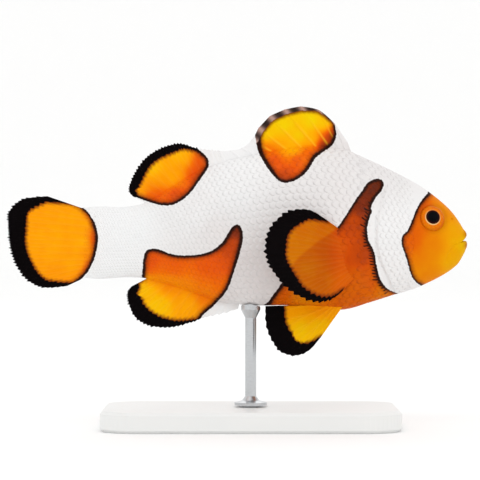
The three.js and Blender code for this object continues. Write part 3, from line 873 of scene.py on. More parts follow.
def fin_surface(rays, ray_at, place, spines=0, teeth=0.45, branches=3):
    """Middle surface of a fin with its half thickness, and how much each place is ray or spine."""
    count = np.linspace(0, len(ray_at) - 1, (len(ray_at) - 1) * COLUMNS_PER_RAY + 1)
    at = np.interp(count, np.arange(len(ray_at)), ray_at)
    root_x, root_h, tip_x, tip_h = smooth_rows(rays, at).T
    length = np.hypot(tip_x - root_x, tip_h - root_h)
    is_spine = count < spines - 0.5
    reach = 1 + edge_reach(count, is_spine, teeth, branches, length) / length
    share = np.linspace(0, 1, FIN_STEPS + 1)[:, None] * reach
    x = root_x + (tip_x - root_x) * share
    height = root_h + (tip_h - root_h) * share
    middle = np.stack([x, place(x, height, share, count, length), AXIS_Z + height], -1)
    spacing = np.linalg.norm(np.gradient(middle, axis=1), axis=2) * COLUMNS_PER_RAY
    half, ray = ray_thickness(count, share, spacing, is_spine)
    off_spine = np.abs(count - np.rint(count)) * spacing
    streak = (0.06 + 0.94 * hump(off_spine, STREAK_WIDTH)) * is_spine
    spine = ray * is_spine * step(0.82, 0.5, share)
    return middle, half, {"ray": ray * ~is_spine, "spine": spine, "streak": streak}


print("fins have", COLUMNS_PER_RAY, "columns to a ray")

# %% [markdown]
# ## Thickness and black margin
# Solidify gives the fin its two sides and closes its edge. The black margin could follow the grid's
# own rows, but then it would be as even as a hem. Its width is listed at even steps along the free
# edge instead, and the distance to that edge is taken from it, so it swells and thins as the real
# one does. The sides of the first and the last ray may have a margin of their own. On the flat
# picture the near side takes the left half and the far side the right. The faces of the rim join
# both, so each gets a strip beside the near side, or it would lie across the whole picture.

# %% One fin
BARE_SIDES = ((NO_MARGIN, NO_MARGIN), (NO_MARGIN, NO_MARGIN))
PICTURE_EDGE = 0.02
RIM_STRIP = 0.016


def set_thickness(piece, half):
    """Solidifies a sheet, with a vertex group that holds each vertex's share of the thickness."""
    group = piece.vertex_groups.new(name="ray")
    for index, share in enumerate(half / half.max()):
        group.add([index], float(share), "REPLACE")
    solid = piece.modifiers.new("thickness", "SOLIDIFY")
    solid.thickness = 2 * half.max() * MM
    solid.offset = 0
    solid.vertex_group = group.name
    apply_modifiers(piece)
    piece.vertex_groups.clear()


def unwrap_fin(piece, u, v):
    """The near side on the left half of the flat picture, the far side on the right, the rim apart."""
    corner = corners_of(piece).reshape(-1, 4)
    far = corner >= len(u)
    on_far_side = far.all(1)
    on_rim = far.any(1) & ~on_far_side
    places = np.stack([u, v], 1)[corner % len(u)]
    middle = places.mean(1, keepdims=True)
    outward = (middle == 1) * 1.0 - (middle == 0)
    places = PICTURE_EDGE + (1 - 2 * PICTURE_EDGE) * places
    places[on_rim] += (RIM_STRIP * far[..., None] * outward)[on_rim]
    places[..., 0] = (places[..., 0] + on_far_side[:, None]) / 2
    write_map(piece, places)


def margin_of(piece, middle, band, side_band):
    """How deep each vertex lies in the black margin: band lists its width along the free edge."""
    places = vertices_of(piece)
    x, height = places[:, 0], places[:, 2] - AXIS_Z
    flat = middle[..., [0, 2]] - (0, AXIS_Z)
    gap, along, _, _ = nearest_on_line(x, height, flat[-1, ::3])
    width = smooth_rows(np.array(band)[:, None], along / along.max() * (len(band) - 1))[:, 0]
    margin = width - gap
    for side, (start, end) in zip((0, -1), side_band):
        gap, along, _, _ = nearest_on_line(x, height, flat[::3, side])
        margin = np.maximum(margin, start + (end - start) * along / along.max() - gap)
    return margin


def build_fin(name, nodes, rays, ray_at, place, band, side_band=BARE_SIDES, fields=masks_at, **form):
    """Models, paints and registers one fin in place of its nodes."""
    middle, half, ribs = fin_surface(rays, ray_at, place, **form)
    piece, row, column = sheet_of(middle, name)
    for kind, share in ribs.items():
        set_values(piece, kind, share[row, column])
    set_values(piece, "margin", margin_of(piece, middle, band, side_band))
    set_thickness(piece, half[row, column])
    unwrap_fin(piece, column / column.max(), row / row.max())
    paint(piece, fields)
    smooth_faces(piece)
    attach(piece, "root")
    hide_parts(*nodes)
    print(name, "faces:", len(piece.data.polygons))
    return piece


print("a fin's side without a margin reads", BARE_SIDES[0])

# %% [markdown]
# ## Fins in the plane of symmetry
# The dorsal, anal and tail fins stand upright in the middle of the fish, with the slight waves that
# water gives them. The dorsal fin is one fin with two lobes, so it is one piece here, though it
# replaces two nodes. A flat fin would be simpler, but its edge would look like cut card from above.

# %% Dorsal, anal and tail fins
SPINE_COUNT = 11
SOFT_COUNT = 14
ANAL_COUNT = 13
TAIL_COUNT = 15
# Widths of the black margin at even steps along the free edge, then those of the end rays' sides.
DORSAL_BAND = [
    0.1, 0.15, 0.3, 0.8, 1.0, 1.05, 1.15, 1.3, 0.3, 0.3, 0.55, 1.3, 1.45, 1.5, 1.6, 1.55, 0.8,
]
DORSAL_SIDES = ((NO_MARGIN, NO_MARGIN), (0.1, 0.4))
ANAL_BAND = [0.0, 0.05, 0.1, 0.5, 1.35, 2.2, 2.65, 2.5, 2.15, 1.3]
ANAL_SIDES = ((NO_MARGIN, NO_MARGIN), (-1.2, 0.3))
TAIL_BAND = [0.9, 2.3, 3.3, 3.4, 3.05, 2.75, 2.7, 2.6, 2.25, 1.3, 0.5]
TAIL_SIDES = ((-1.5, 1.0), (-1.5, 0.4))


def upright(depth, waves):
    """A gentle wave out of the plane of symmetry, growing towards the edge."""
    return lambda x, height, share, count, length: depth * np.sin(waves * count + 0.6) * share**1.5


def spread(rays, count):
    """Where each of a fin's rays lies among the rows that draw it."""
    return np.linspace(0, len(rays) - 1, count)


def anal_fields(x, height):
    """The anal fin is yellow right to its rear edge, behind the end of the patch on the body."""
    fields = masks_at(x, height)
    return {**fields, "patch": fields["patch"] + 2 * step(-17.9, -18.7, x)}


dorsal_at = [*range(SPINE_COUNT), *np.linspace(SPINE_COUNT, len(DORSAL_RAYS) - 1, SOFT_COUNT)]
fins = [
    build_fin("fin_dorsal", ["dorsal_fin_spiny", "dorsal_fin_soft"], rooted(DORSAL_RAYS), dorsal_at,
              upright(0.25, 0.9), DORSAL_BAND, DORSAL_SIDES, spines=SPINE_COUNT, teeth=0.32),
    build_fin("fin_anal", ["anal_fin"], rooted(ANAL_RAYS), spread(ANAL_RAYS, ANAL_COUNT),
              upright(0.25, 0.8), ANAL_BAND, ANAL_SIDES, anal_fields, teeth=0.4),
    build_fin("fin_tail", ["caudal_fin"], TAIL_RAYS, spread(TAIL_RAYS, TAIL_COUNT),
              upright(0.3, 0.7), TAIL_BAND, TAIL_SIDES, teeth=0.48),
]

# %% [markdown]
# ## Paired fins
# A pectoral fin leaves the flank behind the gill cover, stands out from it by a little more than a
# quarter of a right angle, and is cupped like a hand. The pelvic fins hang side by side from the
# breast. A mirrored copy would turn its faces inside out and repeat the same ragged edge, so each
# side is built afresh, with a sign for the side. Both pairs are orange all over, so their patch
# mask is a number that is deep inside.

# %% Pectoral and pelvic fins
PECTORAL_SPLAY = math.radians(27)
PECTORAL_SINK = 0.8
PECTORAL_CUP = 0.07
PELVIC_ROOT_Y = 1.5
PELVIC_SPLAY = math.radians(13)
PECTORAL_GLOW = [(13.0, 3.5, 0.43), (9.0, 0.0, 0.39), (13.0, -6.0, 0.36), (20.0, -2.5, 0.54),
                 (17.0, -9.0, 0.4), (19.0, 1.5, 0.46)]
PELVIC_GLOW = [(16.0, -13.0, 0.34), (10.0, -13.3, 0.27), (12.0, -18.0, 0.12), (16.0, -17.0, 0.14)]
# Painted shade on a pectoral fin where the breast lies behind it, as if seen through the fin.
BREAST_THROUGH_FIN_SHADE = 0.08
FIN_BLENDS_IN = (16.5, 20.5)
DEEP_INSIDE = 9.0


def pectoral_place(side):
    """How far from the plane of symmetry each point of a pectoral fin lies."""
    root_x, root_height = PECTORAL_RAYS[len(PECTORAL_RAYS) // 2][:2]
    root_y = flank_at(root_x, root_height) - PECTORAL_SINK

    def place(x, height, share, count, length):
        cup = PECTORAL_CUP * length * np.sin(np.pi * share) - 0.15 * np.sin(1.1 * count) * share**2
        return side * (root_y + math.tan(PECTORAL_SPLAY) * (root_x - x) - cup)

    return place


def pelvic_place(side):
    """How far from the plane of symmetry each point of a pelvic fin lies."""
    root_height = PELVIC_RAYS[0][1]

    def place(x, height, share, count, length):
        return side * (PELVIC_ROOT_Y + math.tan(PELVIC_SPLAY) * (root_height - height + 1))

    return place


def paired_fields(name, x, height):
    """A paired fin is orange all over and like the body at its root. Before the breast a pectoral has
    painted shade, as if the darker breast showed through the thin fin.
    """
    body = masks_at(x, height)
    # Where the orange breast lies behind a pectoral fin, painted shade darkens and warms the fin.
    behind = step(-0.3, 0.4, body["patch"]) * (name == "pectoral")
    root = step(*FIN_BLENDS_IN, x) * behind
    fields = dict.fromkeys(("along", "rim", "fringe", "pearl_and_shade"), 0.0)
    warmth = blend_places(x, height, PAIRED_FINS[name]["glow"]) + BREAST_THROUGH_FIN_SHADE * behind
    fields["warmth"] = warmth + root * (body["warmth"] - warmth)
    shade = SHADE.get(name, 0.0) + BREAST_THROUGH_FIN_SHADE * behind
    fields["shade"] = shade + root * (body["shade"] - shade)
    return {**fields, "patch": DEEP_INSIDE}


PAIRED_FINS = {
    "pectoral": {"rays": PECTORAL_RAYS, "count": 17, "place": pectoral_place, "glow": PECTORAL_GLOW,
                 "teeth": 0.58, "branches": 2,
                 "band": [0.0, 1.6, 2.7, 3.05, 3.4, 3.6, 3.3, 2.9, 2.4, 1.6, 1.0, 0.5, 0.0]},
    "pelvic": {"rays": PELVIC_RAYS, "count": 6, "place": pelvic_place, "glow": PELVIC_GLOW,
               "teeth": 0.3, "branches": 3,
               "band": [0.0, 1.0, 2.2, 3.4, 3.9, 3.7, 3.7, 3.6, 3.6]},
}
for word, side in (("right", -1), ("left", 1)):
    for name, form in PAIRED_FINS.items():
        fins.append(build_fin(
            f"fin_{name}_{word}", [f"{name}_fin_{word}"], form["rays"],
            spread(form["rays"], form["count"]), form["place"](side), form["band"],
            fields=partial(paired_fields, name), teeth=form["teeth"], branches=form["branches"],
        ))

# %% [markdown]
# ## The eyes
# A fish has no lids. Its eye is a flattened ball in a socket, with a round lens that fills the
# pupil and stands a little out of it, a thin pale ring round the pupil, and an iris that takes the
# face's colour. These could be separate shells, one in another, but then they would have to fit. A
# sphere primitive with its poles on the line of sight has rings of vertices for all of them, and
# each vertex keeps its distance from that line for the paint.

# %% Eyeballs
PUPIL_RADIUS = 1.38
EYE_FLATNESS = 0.6
LENS_RISE = 0.1
RING_RISE = 0.05
IRIS_DIP = 0.05


def eye_relief(off_axis):
    """How far the front of an eye stands out, at a distance from its line of sight."""
    lens = LENS_RISE * step(PUPIL_RADIUS + 0.06, PUPIL_RADIUS - 0.12, off_axis)
    ring = RING_RISE * hump(off_axis - PUPIL_RADIUS - 0.13, 0.09)
    return lens + ring - IRIS_DIP * hump(off_axis - 2.0, 0.35)


def build_eye(word, side):
    """Models one eyeball in the place of its node, looking out of its socket."""
    centre, look = eye_place(side)
    low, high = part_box(f"eye_{word}")
    radius = (high - low).x / 2 / MM
    bpy.ops.object.select_all(action="DESELECT")
    bpy.ops.mesh.primitive_uv_sphere_add(segments=96, ring_count=96, radius=MM)
    eye = bpy.context.object
    eye.name = eye.data.name = f"eyeball_{word}"
    ball = vertices_of(eye)
    off_axis = np.hypot(ball[:, 0], ball[:, 1]) * radius
    front = ball[:, 2] > 0
    ball *= (radius, radius, radius * EYE_FLATNESS)
    ball[:, 2] += eye_relief(off_axis) * front
    turn = Vector((0, 0, 1)).rotation_difference(Vector(look)).to_matrix()
    ball = ball @ np.array(turn).T
    place_vertices(eye, ball + centre)
    # Painted light and shade on the pale ring round the pupil: brighter below and behind, dimmer at the
    # top, as if the brow shaded it.
    below = (ball[:, 2] + 0.4 * ball[:, 0]) / PUPIL_RADIUS
    set_values(eye, "off_axis", off_axis)
    set_values(eye, "ring_lit_below", np.clip(0.65 - 0.4 * below, 0, 1))
    smooth_faces(eye)
    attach(eye, "root")
    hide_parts(f"eye_{word}")
    print(eye.name, "radius", round(radius, 2), "looks", look.round(2))
    return eye


eyes = [build_eye("right", -1), build_eye("left", 1)]

# %% [markdown]
# ## The scales
# About fifty rows of thin plates run round the body, each plate's free edge lying over the roots of
# the two behind it. They are smallest on the cheeks and towards the tail, and the snout, the lips,
# the rims of the eyes and the gill opening are bare. Painted scales would do from afar, but their
# edges catch no light. So one plate is modelled from a grid: its rear edge is rounded, its middle
# arched, and a Solidify modifier gives it two sides. It stays at a few dozen faces, because there
# will be thousands of copies.

# %% One scale
SCALE_GRID = (6, 3)
SCALE_THICKNESS = 0.03
SCALE_LIFT = 0.03
SCALE_ARCH = 0.02
POINTEDNESS = 0.45


def model_scale():
    """One plate: x across from -1 to 1, y from root 0 to tip 1, z its height in mm."""
    across, along = SCALE_GRID
    x, y = np.meshgrid(np.linspace(-1, 1, across + 1), np.linspace(0, 1, along + 1) ** 0.8)
    x = np.sin(x * math.pi / 2.4) / math.sin(math.pi / 2.4)
    reach = y * (1 - POINTEDNESS * np.abs(x) ** 2.3)
    points = np.stack([x * (1 - 0.1 * (1 - y)), reach, SCALE_LIFT * reach - SCALE_ARCH * x**2], -1)
    plate, _, _ = sheet_of(points, "one_scale")
    solid = plate.modifiers.new("thickness", "SOLIDIFY")
    solid.thickness = SCALE_THICKNESS * MM
    solid.offset = -1
    apply_modifiers(plate)
    shape = vertices_of(plate)
    # Across and along run the other way round on the skin, so each face is turned to point outwards.
    faces = np.array([list(face.vertices)[::-1] for face in plate.data.polygons])
    bpy.data.objects.remove(plate)
    return shape, faces


scale_shape, scale_faces = model_scale()
print("one scale:", len(scale_shape), "vertices,", len(scale_faces), "faces")

# %% [markdown]
# ## Where the scales go
# Walking from the snout to the tail in steps of one scale's length gives the columns, and every
# second row starts half a step later. A scale's size follows the girth, so there are as many rows
# at the tail root as at the shoulder. Scattering them at random would be quicker, but a fish's
# scales lie like roof tiles, in rows that keep their number all along the body.

# %% Laying out the scales
SCALE_ROWS = 54
BARE_SNOUT_X = 39.6
EYE_BARE = 3.1
BEHIND_GILL, BEFORE_GILL = -0.3, 0.7
GILL_BELOW, GILL_ABOVE = -10, 11.5
BARE_LOBE_LENGTH, BARE_LOBE_HEIGHT = 1.5, 3.2
TAIL_BARE = 0.8


def read_surface(field, row, column):
    """A value of the skin's surface between its rows and columns."""
    row = np.clip(row, 0, field.shape[0] - 1.001)
    column = np.mod(column, COLUMNS)
    low_row, low_column = row.astype(int), column.astype(int)
    part_row, part_column = (row - low_row)[..., None], (column - low_column)[..., None]
    ahead, behind = (
        field[at_row, low_column] * (1 - part_column) + field[at_row, low_column + 1] * part_column
        for at_row in (low_row, low_row + 1)
    )
    return ahead * (1 - part_row) + behind * part_row


def scale_roots():
    """Row and column of each scale's root on the skin, and its pitch in mm."""
    flank = skin_points[:, COLUMNS // 4]
    gone = np.concatenate([[0], np.cumsum(np.linalg.norm(np.diff(flank, axis=0), axis=1))])
    girths = np.linalg.norm(np.diff(skin_points, axis=1), axis=2).sum(1)
    pitch = girths / SCALE_ROWS
    first = np.argmax(flank[:, 0] < BARE_SNOUT_X)
    counted = np.concatenate([[0], np.cumsum(np.diff(gone) / pitch[1:])])
    counted -= counted[first]
    columns = np.arange(int(counted[-1]) - 1)
    rows = []
    for ring in range(SCALE_ROWS):
        at = np.interp(columns + 0.5 * (ring % 2), counted, np.arange(len(counted)))
        around = np.full(len(at), ring * COLUMNS / SCALE_ROWS)
        rows.append(np.stack([at, around, np.interp(at, np.arange(len(pitch)), pitch)], 1))
    return np.concatenate(rows)


def is_scaled(places):
    """Which places of the skin carry scales."""
    x, height = places[:, 0], places[:, 2] - AXIS_Z
    keep = x < BARE_SNOUT_X
    for side in (-1, 1):
        centre, look = eye_place(side)
        offset = places - centre
        out = offset @ look
        keep &= (np.linalg.norm(offset - out[:, None] * look, axis=1) > EYE_BARE) | (out < -1.5)
    gill = ahead_of(GILL_EDGE, x, height)
    keep &= (gill < BEHIND_GILL) | (gill > BEFORE_GILL) | (height > GILL_ABOVE) | (height < GILL_BELOW)
    lobe_x, lobe_height = PECTORAL_LOBE
    off_x, off_height = (x - lobe_x) / BARE_LOBE_LENGTH, (height - lobe_height) / BARE_LOBE_HEIGHT
    keep &= off_x**2 + off_height**2 > 1
    return keep & (x > SNOUT_X - BODY_LENGTH + TAIL_BARE)


roots = scale_roots()
roots = roots[is_scaled(read_surface(skin_points, roots[:, 0], roots[:, 1]))]
print("scales:", len(roots))

# %% [markdown]
# ## Bending the scales to the skin
# Each copy of the plate is laid on the skin at its root, stretched to the pitch there and bent to
# the surface, a little longer or shorter than its neighbours. Its root dips under the skin and its
# tip stands free. On the cheek the plates sink away towards the bare snout. Copies as objects would
# be too many to move and to export, so each flank is two joined meshes, front and rear.

# %% Join the scales of each flank
OVERLAP = 1.6
SIDE_OVERLAP = 1.12
ROOT_SHARE = 0.2
CHEEK_FADE_LENGTH = 8
REAR_SCALES_X = 8.0
PICTURE_SIZE = 0.003


def bend_scales(roots, vary):
    """Vertices of the scales, as scales by vertices, in millimetres."""
    row, column, pitch = (roots[:, k][:, None] for k in range(3))
    across, along, height = (scale_shape[:, k][None] for k in range(3))
    row_mm = np.linalg.norm(np.gradient(skin_points, axis=0), axis=2).mean(1)
    ring_mm = np.linalg.norm(np.diff(skin_points, axis=1), axis=2).mean(1)
    all_rows = np.arange(len(row_mm))
    at_row = row + (along - ROOT_SHARE) * pitch * OVERLAP * vary / np.interp(row, all_rows, row_mm)
    at_column = column + across * pitch / 2 * SIDE_OVERLAP / np.interp(row, all_rows, ring_mm)
    root_x = read_surface(skin_points, row, column)[:, :, 0]
    shown = step(BARE_SNOUT_X, BARE_SNOUT_X - CHEEK_FADE_LENGTH, root_x)
    lift = height * (0.5 + 0.4 * pitch) * shown + 0.01 - 0.05 * (1 - shown) - 0.04 * (1 - along) ** 3
    surface = read_surface(skin_points, at_row, at_column)
    return surface + read_surface(skin_normals, at_row, at_column) * lift[..., None]


def lay_scales(word, roots):
    """All scales of one half of a flank as one mesh."""
    count, size = len(roots), len(scale_shape)
    points = bend_scales(roots, rng.uniform(0.94, 1.06, (count, 1))).reshape(-1, 3)
    faces = (scale_faces[None] + size * np.arange(count)[:, None, None]).reshape(-1, 4)
    mesh = bpy.data.meshes.new(f"scales_{word}")
    mesh.from_pydata(points * MM, [], faces.tolist())
    piece = bpy.data.objects.new(f"scales_{word}", mesh)
    bpy.context.scene.collection.objects.link(piece)
    set_values(piece, "tint", np.repeat(rng.uniform(-1, 1, count), size))
    set_values(piece, "lie", np.tile(scale_shape[:, 1], count))
    set_values(piece, "across", np.tile(scale_shape[:, 0], count))
    u = roots[:, :1] / skin_rows + (scale_shape[:, 1] - 0.5) * PICTURE_SIZE
    v = roots[:, 1:2] / COLUMNS + scale_shape[:, 0] * PICTURE_SIZE / 2
    unwrap_as_grid(piece, u.ravel(), v.ravel())
    paint(piece)
    set_values(piece, "margin", np.full(len(points), NO_MARGIN))
    smooth_faces(piece)
    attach(piece, "root")
    print(piece.name, "triangles:", 2 * len(faces))
    return piece


root_places = read_surface(skin_points, roots[:, 0], roots[:, 1])
is_left, is_rear = root_places[:, 1] > 0, root_places[:, 0] < REAR_SCALES_X
scales = [
    lay_scales("right_front", roots[~is_left & ~is_rear]),
    lay_scales("right_rear", roots[~is_left & is_rear]),
    lay_scales("left_front", roots[is_left & ~is_rear]),
    lay_scales("left_rear", roots[is_left & is_rear]),
]

# %% [markdown]
# ## Building materials
# Materials here are node trees built in code. They could be wired by hand in the shader editor,
# but a short line for each node is easier to read back. One helper adds a node and joins its
# inputs, another does one step of arithmetic, and a third makes a soft mask between two values.

# %% Node helpers
def colour(red, green, blue):
    """A paint colour on screen, 0 to 255, as the linear values that shaders use."""
    shares = [value / 255 for value in (red, green, blue)]
    return [v / 12.92 if v <= 0.04045 else ((v + 0.055) / 1.055) ** 2.4 for v in shares] + [1.0]


def put(tree, kind, inputs=None, **settings):
    """Adds a shader node; each input is a number, a colour or another node's socket."""
    made = tree.nodes.new("ShaderNode" + kind)
    for key, value in settings.items():
        setattr(made, key, value)
    for key, value in (inputs or {}).items():
        if isinstance(value, bpy.types.NodeSocket):
            tree.links.new(value, made.inputs[key])
        else:
            made.inputs[key].default_value = value
    return made


def calc(tree, operation, first, second=0.0):
    """One step of arithmetic between two numbers or sockets."""
    return put(tree, "Math", {0: first, 1: second}, operation=operation).outputs[0]


def mask(tree, value, low, high):
    """0 at low, 1 at high, soft between; low may be the larger number."""
    made = put(tree, "MapRange", {"Value": value, "From Min": low, "From Max": high},
               interpolation_type="SMOOTHSTEP")
    return made.outputs["Result"]


def blend(tree, share, first, second):
    """The first colour where share is 0, the second where it is 1."""
    made = put(tree, "Mix", data_type="RGBA")
    for key, value in ((0, share), (6, first), (7, second)):
        if isinstance(value, bpy.types.NodeSocket):
            tree.links.new(value, made.inputs[key])
        else:
            made.inputs[key].default_value = value
    return made.outputs[2]


def stored(tree, name):
    """The number that the vertices keep under a name."""
    return put(tree, "Attribute", attribute_name=name).outputs["Fac"]


def noise(tree, per_mm, detail=2.0, stretch=(1, 1, 1)):
    """Noise with about that many blotches in a millimetre, from 0 to 1."""
    place = put(tree, "TexCoord").outputs["Object"]
    mapped = put(tree, "Mapping", {"Vector": place, "Scale": [v * per_mm / MM for v in stretch]})
    inputs = {"Vector": mapped.outputs[0], "Scale": 1.0, "Detail": detail}
    return put(tree, "TexNoise", inputs).outputs["Fac"]


def new_group(name, outputs):
    """An empty shader group with the outputs given as labels and kinds."""
    group = bpy.data.node_groups.new(name, "ShaderNodeTree")
    for label, kind in outputs:
        group.interface.new_socket(label, in_out="OUTPUT", socket_type=kind)
    return group


print("orange in linear values:", [round(v, 3) for v in colour(236, 120, 5)])

# %% [markdown]
# ## The colours
# A painter mixes few colours and lets them run into each other. The patches take theirs from one
# ramp, from yellow through orange to dark russet, and the warmth kept on each vertex says where on
# it. The white is blended from three pearls, the dull one standing partly for painted shade. The
# rims, the margins and the pale streaks on the spines have one colour each.

# %% Colours and the ramp
WARM_PAINT = [
    (0.0, colour(237, 206, 3)),
    (0.25, colour(248, 164, 2)),
    (0.5, colour(238, 110, 4)),
    (0.62, colour(228, 86, 10)),
    (0.74, colour(192, 68, 14)),
    (0.86, colour(142, 50, 22)),
    (1.0, colour(84, 38, 28)),
]
# Partly painted shade: the dull pearl darkens the white low on the flank.
SHADED_PEARL = colour(212, 199, 195)
BRIGHT_PEARL = colour(243, 241, 240)
COOL_PEARL = colour(212, 226, 232)
SPINE_PAINT = colour(255, 196, 40)
DEEP_PAINT = colour(70, 26, 0)
RIM_PAINT = colour(40, 18, 12)
MARGIN_PAINT = colour(6, 3, 4)
STREAK_PAINT = colour(206, 166, 152)
HALO_PAINT = colour(112, 40, 8)


def warm_paint(tree, warmth):
    """A colour of the patches, from 0, yellow, to 1, dark russet."""
    ramp = put(tree, "ValToRGB", {"Fac": warmth})
    stops = ramp.color_ramp.elements
    for place, _ in WARM_PAINT[1:-1]:
        stops.new(place)
    for stop, (place, shade) in zip(stops, WARM_PAINT):
        stop.position, stop.color = place, shade
    return ramp.outputs["Color"]


print("colours on the ramp:", len(WARM_PAINT))

# %% [markdown]
# ## The fish's paint
# Skin, scales and fins all wear the same markings, so the paint is one group that each of their
# materials uses. The depth inside a patch, roughened by fine teeth along its line and by a little
# noise, cuts out the orange. A dark rim follows the line just inside. On the front edge of the
# shoulder patch, dark dashes run inwards from it. The black margins of the fins come last.

# %% Paint group
TOOTH_LENGTH = 0.62
DASH_PITCH = 0.58


def times(tree, first, second):
    """The product of two numbers or sockets."""
    return calc(tree, "MULTIPLY", first, second)


def unevenness(tree, per_mm, amount):
    """Noise about nought, as wide as the amount."""
    return times(tree, calc(tree, "SUBTRACT", noise(tree, per_mm), 0.5), amount)


def dashes(tree, patch, along):
    """Dark dashes that run inwards from a fringed edge."""
    leaning = calc(tree, "ADD", along, times(tree, patch, 0.35))
    wave = calc(tree, "PINGPONG", leaning, DASH_PITCH / 2)
    order = calc(tree, "FLOOR", calc(tree, "DIVIDE", leaning, DASH_PITCH))
    chance = put(tree, "TexWhiteNoise", {"W": order}, noise_dimensions="1D").outputs["Value"]
    length = calc(tree, "ADD", times(tree, chance, 0.9), 0.9)
    stroke = mask(tree, wave, DASH_PITCH * 0.22, DASH_PITCH * 0.36)
    short = mask(tree, calc(tree, "SUBTRACT", length, patch), 0.0, 0.4)
    return times(tree, times(tree, stroke, short), stored(tree, "fringe"))


def mask_edges(tree):
    """Masks of the patches' inside, their dark rim, the black margin, and the glow beside both."""
    patch, along, rim = (stored(tree, name) for name in ("patch", "along", "rim"))
    ragged = unevenness(tree, 1.3, 0.35)
    teeth = times(tree, calc(tree, "PINGPONG", along, TOOTH_LENGTH / 2), 0.16)
    depth = calc(tree, "ADD", patch, calc(tree, "ADD", ragged, teeth))
    within_rim = calc(tree, "SUBTRACT", rim, depth)
    dark = calc(tree, "MAXIMUM", mask(tree, within_rim, -0.36, 0.14), dashes(tree, patch, along))
    uneven = calc(tree, "ADD", ragged, times(tree, stored(tree, "ray"), 0.18))
    margin_depth = calc(tree, "ADD", stored(tree, "margin"), uneven)
    near_rim = times(tree, mask(tree, within_rim, -1.1, 0.1), 0.7)
    near_margin = times(tree, mask(tree, margin_depth, -0.85, 0.05), 0.95)
    halo = calc(tree, "MAXIMUM", near_rim, near_margin)
    return mask(tree, depth, -0.04, 0.06), dark, mask(tree, margin_depth, -0.05, 0.09), halo


def mix_paints(tree):
    """The orange of the patches, the pearl between them, and the fins' margin with its streaks."""
    orange = warm_paint(tree, calc(tree, "ADD", stored(tree, "warmth"), unevenness(tree, 0.5, 0.1)))
    orange = blend(tree, stored(tree, "shade"), orange, DEEP_PAINT)
    orange = blend(tree, times(tree, stored(tree, "spine"), 0.5), orange, SPINE_PAINT)
    # The white between the patches, dull where painted shade lies low on the flank.
    pearl_and_shade = blend(tree, stored(tree, "pearl_and_shade"), SHADED_PEARL, BRIGHT_PEARL)
    pearl_and_shade = blend(tree, times(tree, noise(tree, 0.08, 3.0), 0.3), pearl_and_shade, COOL_PEARL)
    margin = blend(tree, times(tree, stored(tree, "streak"), 0.75), MARGIN_PAINT, STREAK_PAINT)
    return orange, pearl_and_shade, margin


def build_paint_group():
    """The group's colour, and how dark a rim or margin is there."""
    tree = new_group("fish_paint", [("Color", "NodeSocketColor"), ("Dark", "NodeSocketFloat")])
    inside, dark, black, halo = mask_edges(tree)
    orange, pearl_and_shade, margin = mix_paints(tree)
    shade = blend(tree, dark, blend(tree, halo, orange, HALO_PAINT), RIM_PAINT)
    shade = blend(tree, inside, pearl_and_shade, blend(tree, black, shade, margin))
    out = tree.nodes.new("NodeGroupOutput")
    tree.links.new(shade, out.inputs["Color"])
    any_dark = times(tree, inside, calc(tree, "MAXIMUM", dark, black))
    tree.links.new(any_dark, out.inputs["Dark"])
    return tree


paint_group = build_paint_group()
print("paint group nodes:", len(paint_group.nodes))

# %% [markdown]
# ## Materials and their shader
# Every material here has one Principled shader. What is the same all over the piece is typed into
# the shader's own socket, and only what varies is joined to it. Fine relief, such as pores, could
# be modelled, but it is far smaller than a face, so a Bump node stands in for it.

# %% Material helpers
def new_material(name, **constants):
    """A material with one Principled shader, its constants set on the shader's own sockets."""
    material = bpy.data.materials.new(name)
    material.use_nodes = True
    tree = material.node_tree
    shader = tree.nodes["Principled BSDF"]
    for key, value in constants.items():
        shader.inputs[key.replace("_", " ").title().replace("Ior", "IOR")].default_value = value
    return material, tree, shader


def painted(tree):
    """The paint group placed in a material: its colour and its dark."""
    group = tree.nodes.new("ShaderNodeGroup")
    group.node_tree = paint_group
    return group.outputs["Color"], group.outputs["Dark"]


def bump(tree, shader, height, strength, distance):
    """Fine relief on a shader; distance is in millimetres."""
    made = put(tree, "Bump", {"Height": height, "Strength": strength, "Distance": distance * MM})
    tree.links.new(made.outputs[0], shader.inputs["Normal"])


def roughness(tree, shader, value, low, high):
    """Roughness that runs from low to high with a mask."""
    made = put(tree, "MapRange", {"Value": value, "To Min": low, "To Max": high})
    tree.links.new(made.outputs[0], shader.inputs["Roughness"])


print("material helpers ready")

# %% [markdown]
# ## Skin, scales and fins
# Real fish skin is wet and shines. This model is finished in satin lacquer, as cast fish often are,
# so that its colours read from every side. All three materials start with the paint group. The skin
# adds fine pores, a scale its darker free edge and a fan of ridges, and a fin pale rays.

# %% Skin, scale and fin materials
SCALE_EDGE_PAINT = colour(120, 108, 104)
RAY_PAINT = colour(255, 214, 120)
FISH_GLOSS = {"specular_ior_level": 0.02, "coat_weight": 0.01, "coat_roughness": 0.15}


def skin_material():
    """Painted skin with fine pores."""
    material, tree, shader = new_material("fish_skin", **FISH_GLOSS)
    shade, _ = painted(tree)
    tree.links.new(shade, shader.inputs["Base Color"])
    pores = noise(tree, 4.0, 3.0)
    roughness(tree, shader, pores, 0.38, 0.52)
    bump(tree, shader, pores, 0.25, 0.06)
    return material


def scale_material():
    """A painted scale with a darker free edge and a fan of ridges."""
    material, tree, shader = new_material("fish_scale", **FISH_GLOSS)
    shade, _ = painted(tree)
    lie = stored(tree, "lie")
    edge = times(tree, mask(tree, lie, 0.75, 1.0), 0.04)
    tint = times(tree, calc(tree, "ADD", stored(tree, "tint"), 1.0), 0.012)
    shade = blend(tree, calc(tree, "ADD", edge, tint), shade, SCALE_EDGE_PAINT)
    tree.links.new(shade, shader.inputs["Base Color"])
    fan = calc(tree, "PINGPONG", times(tree, stored(tree, "across"), 6.0), 0.5)
    roughness(tree, shader, noise(tree, 2.0), 0.34, 0.5)
    bump(tree, shader, times(tree, fan, lie), 0.3, 0.03)
    return material


